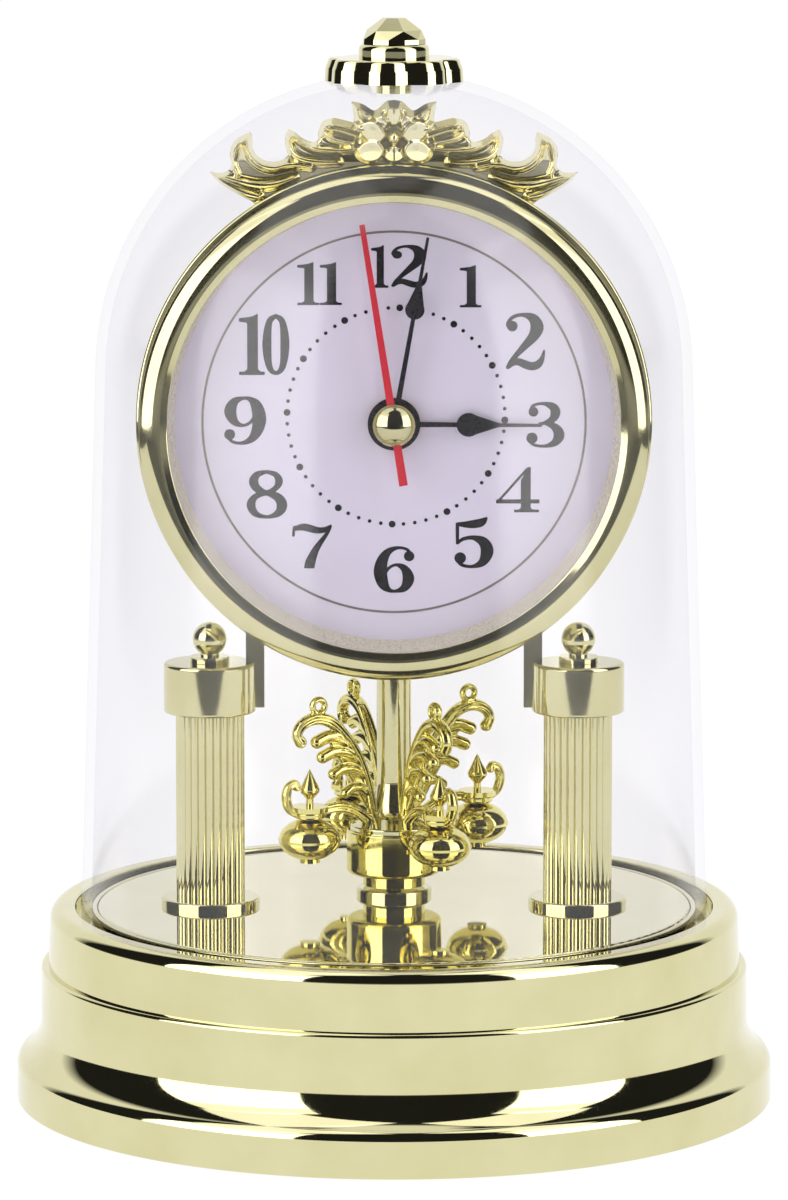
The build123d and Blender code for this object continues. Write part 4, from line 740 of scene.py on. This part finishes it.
def on_plate(x, y, z):
    """Places a point of the plate, drawn in between its lobes."""
    radius, angle = math.hypot(x, y), math.atan2(y, x)
    notch = 1 - abs(math.cos(PLATE_LOBES / 2 * (angle - math.radians(PLATE_TURN))))
    share = (radius - LOBE_DEPTH * notch * min(max((radius - NOTCH_START) / NOTCH_RUN, 0), 1)) / radius
    return (x * share * MM, y * share * MM, z * MM)


plate_profile = [(radius, crown_at(radius) + PLATE_GAP) for radius in PLATE_UNDERSIDE]
plate_profile += [(PLATE_FOOT_RADIUS - PLATE_DRAFT, KNOB_LOW - PLATE_EDGE_DROP, 0.4),
                  (PLATE_TOP_RADIUS, KNOB_LOW, 0.55), (SCREW_BORE, KNOB_LOW)]
plate_mesh = lathe("dome_flower_lobed", plate_profile, steps=320, place=on_plate)
plate_piece = new_object(plate_mesh, "dome", "gold_plating")
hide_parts("dome_flower")

ring_top = KNOB_LOW + KNOB_RING_HEIGHT
ring_profile = ((SCREW_BORE, KNOB_LOW), (KNOB_RING_RADIUS, KNOB_LOW),
                (KNOB_RING_RADIUS, ring_top, KNOB_RING_ROUNDING), (SCREW_BORE, ring_top))
knob_mesh = lathe("dome_knob_cut", ring_profile, steps=96)
joined = bmesh.new()
joined.from_mesh(knob_mesh)


def gem_ring(ring, corners):
    """New corners of one ring of the gem."""
    radius, rise = ring
    out = []
    for k in range(corners):
        angle = math.radians(GEM_TURN + 360 * k / corners)
        out.append(joined.verts.new((radius * math.cos(angle) * MM, radius * math.sin(angle) * MM,
                                     (ring_top + rise) * MM)))
    return out


foot = gem_ring(GEM_FOOT, 2 * GEM_SIDES)
girdle = gem_ring(GEM_GIRDLE, 2 * GEM_SIDES)
shoulder = gem_ring(GEM_SHOULDER, GEM_SIDES)
table = gem_ring(GEM_TABLE, GEM_SIDES)
facets = [table, foot[::-1]]
for k in range(2 * GEM_SIDES):
    n = (k + 1) % (2 * GEM_SIDES)
    facets.append((foot[k], foot[n], girdle[n], girdle[k]))
for k in range(GEM_SIDES):
    n = (k + 1) % GEM_SIDES
    left, middle, right = girdle[2 * k], girdle[2 * k + 1], girdle[2 * n]
    facets += [(left, middle, shoulder[k]), (shoulder[k], middle, shoulder[n]),
               (middle, right, shoulder[n]), (shoulder[k], shoulder[n], table[n], table[k])]
for facet in facets:
    joined.faces.new(facet)
joined.to_mesh(knob_mesh)
joined.free()
knob_piece = new_object(knob_mesh, "dome", "gold_plating")
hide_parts("dome_knob")

# Crest

CREST_BACK = 7.5
CREST_CELL = 0.12
CREST_REACH, CREST_LOW, CREST_HIGH = 29.1, 141.6, 159.8
CREST_SEAT_ANGLES, CREST_SEAT_STEPS = (90.0, 57.5), 14
CREST_RUN_STEPS, RIM_STEPS = 8, 14
# One half of the outline, across and up in mm, as runs between its points.
CREST_RUNS = (
    ((21.2, 142.5), (22.1, 143.5), (23.3, 144.1), (25.4, 145.3), (27.3, 146.6), (28.6, 148.1)),
    ((28.6, 148.1), (26.9, 147.9), (25.7, 148.3), (25.1, 149.2)),
    ((25.1, 149.2), (25.4, 150.5), (25.2, 152.0), (24.2, 153.3), (22.2, 154.3)),
    ((22.2, 154.3), (21.9, 153.2), (21.9, 151.8), (21.1, 150.5), (19.5, 149.7), (17.6, 149.8),
     (16.4, 150.6)),
    ((16.4, 150.6), (16.75, 151.8), (16.9, 153.2), (16.4, 154.7)),
    ((16.4, 154.7), (15.2, 154.1), (13.8, 153.1), (12.4, 152.7), (11.75, 153.2)),
    ((11.75, 153.2), (11.7, 154.3), (11.3, 155.5), (10.7, 156.1), (9.2, 156.4), (7.4, 156.0),
     (6.2, 155.7)),
    ((6.2, 155.7), (6.3, 157.2), (6.6, 159.0)),
    ((6.6, 159.0), (4.9, 158.6), (3.2, 157.6), (2.3, 158.0), (1.2, 159.0), (0.0, 159.2)),
)
# Raised rims: how high they stand, then across, up and width.
CREST_RIMS = (
    (2.0, ((28.4, 148.0, 0.9), (27.2, 147.0, 1.2), (25.3, 145.9, 1.4), (22.9, 144.8, 1.4),
           (20.9, 144.3, 1.2))),
    (2.3, ((28.0, 148.0, 0.9), (25.9, 147.3, 1.2), (23.6, 146.6, 1.5), (21.1, 146.1, 1.6),
           (18.4, 146.3, 1.4), (15.4, 147.3, 1.0))),
    (2.2, ((24.4, 148.0, 1.0), (25.0, 149.2, 1.2), (24.9, 150.8, 1.3), (24.3, 152.5, 1.2),
           (22.4, 154.0, 0.8))),
    (2.4, ((22.5, 153.9, 0.9), (22.6, 152.2, 1.2), (22.0, 150.5, 1.4), (20.6, 149.3, 1.5),
           (18.8, 148.8, 1.5), (16.9, 149.2, 1.4), (15.0, 149.3, 1.2), (12.8, 148.9, 0.9))),
    (2.4, ((16.4, 154.3, 0.9), (16.3, 152.7, 1.2), (15.7, 151.1, 1.3), (14.2, 150.1, 1.3),
           (11.6, 149.7, 1.2), (8.6, 149.7, 1.0))),
    (2.3, ((16.1, 154.2, 0.9), (15.0, 153.4, 1.1), (13.5, 152.3, 1.2), (11.6, 151.7, 1.2),
           (8.6, 151.5, 1.1), (5.7, 151.7, 0.9))),
    (2.4, ((11.0, 155.5, 1.0), (10.8, 154.2, 1.2), (9.3, 153.2, 1.2), (6.5, 152.6, 1.0))),
    (2.4, ((10.8, 155.6, 1.0), (9.2, 155.8, 1.2), (6.8, 155.3, 1.2), (4.4, 154.4, 1.0))),
    (2.2, ((10.3, 154.9, 0.6), (8.2, 154.5, 0.8), (5.3, 153.6, 0.8))),
    (2.3, ((6.4, 158.7, 0.8), (6.2, 157.6, 1.0), (5.3, 156.1, 1.1), (4.0, 155.0, 1.0))),
    (2.3, ((6.2, 158.6, 0.8), (4.6, 158.2, 1.0), (3.0, 157.0, 1.1), (2.1, 156.0, 1.0))),
)
# Petals of the middle flower: place, radii, turn in degrees and how far they stand out.
CREST_PETALS = (
    ((3.3, 154.5), (2.25, 1.75), 28.0, 3.0), ((3.6, 151.5), (2.35, 1.85), -12.0, 3.1),
    ((0.0, 157.2), (1.35, 1.9), 0.0, 2.7), ((1.9, 156.1), (0.95, 1.2), -30.0, 2.6),
    ((0.0, 151.0), (1.9, 1.4), 0.0, 2.8),
)
CREST_BALL = ((0.0, 153.5), (1.3, 1.3), 0.0, 3.9)
CREST_WEB, CREST_EDGE, CREST_EDGE_WIDTH, CREST_EDGE_SLOPE = 0.75, 0.35, 0.5, 3.5
CREST_EASING = 3
RIM_SPREAD, RIM_FULLNESS = 1.38, 0.75
FLOWER_FOOT, FLOWER_LEAN = 149.8, 0.19
# Sections of a petal and of the ball: share of the reach, and share of the height there.
PETAL_SECTION = ((0.0, 1.0), (0.5, 0.985), (0.7, 0.98), (0.82, 1.0), (0.91, 0.86), (1.0, 0.42))
PETAL_TILT = 0.42
BALL_SECTION = ((0.0, 1.0), (0.3, 0.965), (0.5, 0.90), (0.7, 0.78), (0.85, 0.62), (0.95, 0.46),
                (1.0, 0.30))


def on_crest(u, v, w):
    return (u * MM, -(CREST_BACK + w) * MM, v * MM)


seat = [(BEZEL_RADIUS * math.cos(angle), DIAL_HEIGHT + BEZEL_RADIUS * math.sin(angle))
        for angle in map(math.radians, np.linspace(*CREST_SEAT_ANGLES, CREST_SEAT_STEPS))]
half_outline = seat + [tuple(p) for run in CREST_RUNS for p in smooth_path(run, CREST_RUN_STEPS)]
crest_u = np.arange(-CREST_REACH, CREST_REACH + CREST_CELL / 2, CREST_CELL)
crest_v = np.arange(CREST_LOW, CREST_HIGH, CREST_CELL)
across, up = np.meshgrid(np.abs(crest_u), crest_v)
other_half = [(-u, v) for u, v in reversed(half_outline)]
crest_depth = outline_depth(across, up, np.array(half_outline + other_half))
crest_height = CREST_EDGE + (CREST_WEB - CREST_EDGE) * np.clip(crest_depth / CREST_EDGE_WIDTH, 0, 1)
for height, points in CREST_RIMS:
    reach, _ = stroke_reach(across, up, points, RIM_STEPS)
    rim = height * np.clip(1 - (reach / RIM_SPREAD)**2, 0, 1)**RIM_FULLNESS
    crest_height = np.maximum(crest_height, rim)
for place, radii, turn, height in CREST_PETALS:
    reach = bowl_reach(across, up, place, radii, math.radians(turn))
    tilted = height * section_height(PETAL_SECTION, reach) - PETAL_TILT * (across - place[0])
    crest_height = np.maximum(crest_height, np.where(reach < 1, tilted, 0.0))
    crest_depth = np.maximum(crest_depth, (1 - reach) * min(radii))
place, radii, turn, height = CREST_BALL
reach = bowl_reach(across, up, place, radii, turn)
crest_height = np.maximum(crest_height, height * section_height(BALL_SECTION, reach))
crest_height += FLOWER_LEAN * np.clip(up - FLOWER_FOOT, 0, None)
edge_limit = CREST_EDGE + CREST_EDGE_SLOPE * np.clip(crest_depth, 0, None)
crest_height = np.minimum(eased(crest_height, CREST_EASING), edge_limit)
crest_mesh = relief_mesh("crest_leaves", crest_u, crest_v, crest_depth, crest_height, on_crest,
                         two_sided=False)
# The crest wears the paler plating, whose lighter tone is painted highlight.
crest_piece = new_object(crest_mesh, "frame", "gold_plating", CREST_PAINTED_HIGHLIGHT_PLATING)
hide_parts("crest")

CREST_RING_PROFILE = ((38.85, 7.5), (40.2, 7.5, 0.3), (40.2, 10.0, 0.5), (38.85, 10.0, 0.2))
crest_ring_mesh = lathe("crest_ring", CREST_RING_PROFILE, steps=300, place=on_dial_axis)
crest_ring_piece = new_object(crest_ring_mesh, "frame", "gold_plating")
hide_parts("crest")

# Scroll arms

ARM_FIRST = 28.4
ARM_CELL = 0.12
ARM_ACROSS, ARM_UP = (2.4, 20.3), (40.8, 64.6)
ARM_HALF, ARM_EDGE_HALF = 1.0, 0.2
ARM_STROKE_STEPS, ARM_EASING = 20, 2
# Strokes of one arm, out from the axis and up in mm, with their width.
ARM_STEMS = (
    ((3.5, 42.0, 1.7), (4.1, 46.0, 1.6), (5.0, 50.0, 1.6), (6.6, 54.0, 1.7), (8.9, 57.4, 1.8),
     (11.2, 59.7, 2.0), (13.6, 60.6, 2.0), (15.6, 60.3, 1.9), (17.0, 59.3, 1.7), (17.4, 58.0, 1.6),
     (16.8, 57.0, 1.9)),
    ((3.9, 42.6, 1.6), (6.4, 44.7, 1.7), (9.4, 46.0, 1.8), (12.4, 45.9, 1.6), (14.6, 45.3, 1.2)),
    ((17.2, 45.3, 1.2), (18.8, 46.4, 1.4), (19.4, 48.2, 1.5), (19.0, 49.9, 1.4), (18.0, 50.5, 1.2),
     (17.6, 49.9, 1.4)),
)
ARM_LOBES = (
    ((7.4, 55.2, 1.3), (9.6, 57.0, 2.1), (11.8, 57.5, 2.1), (13.9, 56.8, 2.1)),
    ((6.0, 52.8, 1.3), (8.2, 54.5, 2.0), (10.8, 55.0, 2.0), (12.9, 54.3, 2.0)),
    ((5.1, 50.2, 1.2), (7.0, 51.8, 1.8), (9.2, 52.1, 1.8), (10.9, 51.4, 1.9)),
    ((4.5, 47.4, 1.1), (6.0, 48.8, 1.5), (7.6, 48.9, 1.6), (8.8, 48.2, 1.7)),
)
# Thin web that joins the lobes along the stem.
ARM_WEB = ((4.6, 46.0, 1.4), (6.2, 50.0, 2.6), (8.0, 53.6, 3.4), (10.2, 56.8, 3.0))
ARM_WEB_HALF = 0.45
ARM_RING = (13.6, 62.55)
ARM_RING_RADII, ARM_RING_SHARE = (0.62, 1.55), 0.7
COLLAR_X, COLLAR_RADIUS, COLLAR_BORE, COLLAR_ROUNDING = 15.2, 2.5, 0.3, 0.25
COLLAR_LOW, COLLAR_TOP = 44.76, 45.76
STEM_SECTION = ((0.0, 0.74), (0.2, 0.82), (0.42, 1.0), (0.62, 0.95), (0.82, 0.72), (0.94, 0.50),
                (1.0, 0.28))
LOBE_SECTION = ((0.0, 1.0), (0.3, 0.96), (0.5, 0.88), (0.7, 0.74), (0.85, 0.56), (0.95, 0.40),
                (1.0, 0.28))
ARM_FULL_HALF_WIDTH = 0.9


def on_arm(u, v, w):
    return (u * MM, -w * MM, v * MM)


def on_collar(x, y, z):
    return ((x + COLLAR_X) * MM, y * MM, z * MM)


arm_u = np.arange(*ARM_ACROSS, ARM_CELL)
arm_v = np.arange(*ARM_UP, ARM_CELL)
across, up = np.meshgrid(arm_u, arm_v)
arm_depth = np.full(across.shape, -FAR)
arm_height = np.zeros(across.shape)
for section, strokes in ((STEM_SECTION, ARM_STEMS), (LOBE_SECTION, ARM_LOBES)):
    for points in strokes:
        reach, half = stroke_reach(across, up, points, ARM_STROKE_STEPS)
        bulk = ARM_HALF * np.minimum(half / ARM_FULL_HALF_WIDTH, 1.0)
        arm_height = np.maximum(arm_height, bulk * section_height(section, reach))
        arm_depth = np.maximum(arm_depth, (1 - reach) * half)
reach, half = stroke_reach(across, up, ARM_WEB, ARM_STROKE_STEPS)
arm_height = np.maximum(arm_height, np.where(reach < 1, ARM_WEB_HALF, 0.0))
arm_depth = np.maximum(arm_depth, (1 - reach) * half)
ring_middle, ring_half = sum(ARM_RING_RADII) / 2, (ARM_RING_RADII[1] - ARM_RING_RADII[0]) / 2
reach = np.abs(np.hypot(across - ARM_RING[0], up - ARM_RING[1]) - ring_middle) / ring_half
arm_height = np.maximum(arm_height, ARM_RING_SHARE * ARM_HALF * section_height(LOBE_SECTION, reach))
arm_depth = np.maximum(arm_depth, (1 - reach) * ring_half)
arm_height = np.maximum(eased(arm_height, ARM_EASING), ARM_EDGE_HALF)
arm_mesh = relief_mesh("scroll_arm_cast", arm_u, arm_v, arm_depth, arm_height, on_arm, two_sided=True)
COLLAR_PROFILE = (
    (COLLAR_BORE, COLLAR_LOW), (COLLAR_RADIUS, COLLAR_LOW, COLLAR_ROUNDING),
    (COLLAR_RADIUS, COLLAR_TOP, COLLAR_ROUNDING), (COLLAR_BORE, COLLAR_TOP),
)
collar = lathe("scroll_arm_collar", COLLAR_PROFILE, steps=48, place=on_collar)
joined = bmesh.new()
joined.from_mesh(arm_mesh)
joined.from_mesh(collar)
joined.to_mesh(arm_mesh)
joined.free()
bpy.data.meshes.remove(collar)
arm_mesh.materials.append(SLOT_MATERIALS["gold_hub"])
for index in range(4):
    piece = bpy.data.objects.new(f"scroll_arm_cast_{index + 1}", arm_mesh)
    scene.collection.objects.link(piece)
    piece.location = (0, PENDULUM_Y * MM, 0)
    piece.rotation_euler = (0, 0, math.radians(ARM_FIRST + 90 * index))
    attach(piece, "pendulum")
    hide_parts(f"scroll_arm_{index + 1}")

# Studio

TABLE_HALF_WIDTH, TABLE_FRONT, TABLE_BACK = 0.56, -0.358, 8.0
FLOOR_COLOUR, FLOOR_GLOW, FLOOR_GLOW_SHARE = (0.86, 0.86, 0.86), 1.04, 0.94
floor_mesh = bpy.data.meshes.new("floor")
floor_corners = [(-TABLE_HALF_WIDTH, TABLE_FRONT, 0), (TABLE_HALF_WIDTH, TABLE_FRONT, 0),
                 (TABLE_HALF_WIDTH, TABLE_BACK, 0), (-TABLE_HALF_WIDTH, TABLE_BACK, 0)]
floor_mesh.from_pydata(floor_corners, [], [(0, 1, 2, 3)])
floor = bpy.data.objects.new("floor", floor_mesh)
scene.collection.objects.link(floor)


def seen_rays(tree):
    """One for rays that show the background: from the camera, off metal or through clear plastic."""
    path = tree.nodes.new("ShaderNodeLightPath")
    direct = math_node(tree, "MAXIMUM", path.outputs["Is Camera Ray"], path.outputs["Is Glossy Ray"])
    return math_node(tree, "MAXIMUM", direct, path.outputs["Is Transmission Ray"])


floor_material, tree, output = new_material("floor_finish")
matte = put(tree, "ShaderNodeBsdfDiffuse", Color=FLOOR_COLOUR)
glow = put(tree, "ShaderNodeEmission", Color=WHITE, Strength=FLOOR_GLOW)
share = math_node(tree, "MULTIPLY", seen_rays(tree), FLOOR_GLOW_SHARE)
feed(tree, output.inputs["Surface"], mix_shader(tree, share, matte.outputs[0], glow.outputs[0]))
floor_mesh.materials.append(floor_material)

# In the metal the room is dark, but for a white backdrop behind the clock, a light overhead and a grey
# band just below the horizon. Rays that show nothing of it bring an even fill.
BACKDROP_TURN = (2.14, 2.32)
OVERHEAD_EDGE = (0.975, 0.990)
BAND_TOP, BAND_FOOT = (0.0, -0.06), (-0.11, -0.14)
ROOM_DARK, BAND_GREY, BELOW_BAND = (0.015, 0.015, 0.016), (0.33, 0.33, 0.33), (0.07, 0.07, 0.07)
FILL_LEVEL = 0.42
world = bpy.data.worlds.new("studio")
scene.world = world
world.use_nodes = True
tree = world.node_tree
tree.nodes.clear()
output = tree.nodes.new("ShaderNodeOutputWorld")
looking = tree.nodes.new("ShaderNodeTexCoord").outputs["Generated"]
direction = put(tree, "ShaderNodeSeparateXYZ", Vector=looking)
height = direction.outputs["Z"]
side = math_node(tree, "ABSOLUTE", direction.outputs["X"])
ahead = math_node(tree, "MULTIPLY", direction.outputs["Y"], -1.0)
behind = spread(tree, math_node(tree, "ARCTAN2", side, ahead), 0.0, 1.0, BACKDROP_TURN)
overhead = spread(tree, height, 0.0, 1.0, OVERHEAD_EDGE)
dark = mix_colour(tree, spread(tree, height, 0.0, 1.0, BAND_TOP), ROOM_DARK, BAND_GREY)
dark = mix_colour(tree, spread(tree, height, 0.0, 1.0, BAND_FOOT), dark, BELOW_BAND)
studio = mix_colour(tree, overhead, mix_colour(tree, behind, dark, WHITE), WHITE)
path = tree.nodes.new("ShaderNodeLightPath")
seen = mix_colour(tree, path.outputs["Is Camera Ray"], studio, WHITE)
fill = put(tree, "ShaderNodeBackground", Color=WHITE, Strength=FILL_LEVEL)
shown = put(tree, "ShaderNodeBackground", Color=seen, Strength=1.0)
mixed = mix_shader(tree, seen_rays(tree), fill.outputs[0], shown.outputs[0])
feed(tree, output.inputs["Surface"], mixed)

LAMP_COLOUR = (1.0, 0.99, 0.985)
RIGHT_SHARE = 0.735
# Soft lamps: name, azimuth from the clock's front, foot and head (distance, height), width, radiance.
SOFTBOXES = (
    ("softbox_left", -54.0, (1.10, -0.02), (1.10, 0.90), 1.02, 2.7),
    ("softbox_middle_left", -54.0, (1.10, 0.90), (1.10, 1.40), 1.02, 1.5),
    ("softbox_right", 58.0, (1.10, -0.02), (1.10, 0.90), 1.02 * RIGHT_SHARE, 2.7),
    ("softbox_middle_right", 58.0, (1.10, 0.90), (1.10, 1.40), 1.02 * RIGHT_SHARE, 1.5),
    ("softbox_top_left", -60.0, (1.19, 1.45), (0.25, 1.45), 0.92, 1.4),
    ("softbox_top_right", 66.0, (1.26, 1.45), (0.33, 1.45), 0.75, 1.4),
    ("front_fill", 0.0, (1.40, -0.30), (1.40, 0.20), 1.4, 2.9),
)


def softbox(name, azimuth, foot, head, width, radiance):
    """A flat lamp that faces the clock's axis."""
    lean = math.atan2(foot[0] - head[0], head[1] - foot[1])
    tall = math.hypot(foot[0] - head[0], head[1] - foot[1])
    lamp = bpy.data.lights.new(name, "AREA")
    lamp.shape = "RECTANGLE"
    lamp.size = width
    lamp.size_y = tall
    lamp.energy = radiance * math.pi * width * tall
    lamp.color = LAMP_COLOUR
    holder = bpy.data.objects.new(name, lamp)
    scene.collection.objects.link(holder)
    angle = math.radians(azimuth)
    distance = (foot[0] + head[0]) / 2
    holder.location = (distance * math.sin(angle), -distance * math.cos(angle),
                       (foot[1] + head[1]) / 2)
    holder.rotation_euler = (math.radians(90) - lean, 0, angle)
    return holder


lamps = {row[0]: softbox(*row) for row in SOFTBOXES}
lamps["front_fill"].visible_glossy = False

CAMERA_LENS, CAMERA_SENSOR = 192.27, 36.0
CAMERA_PLACE, CAMERA_DIP = (0.0, -1.0, 0.230), 8.5425
camera_data = bpy.data.cameras.new("camera")
camera_data.lens = CAMERA_LENS
camera_data.sensor_width = CAMERA_SENSOR
camera = bpy.data.objects.new("camera", camera_data)
camera.location = CAMERA_PLACE
camera.rotation_euler = (math.radians(90 - CAMERA_DIP), 0, 0)
scene.collection.objects.link(camera)
scene.camera = camera
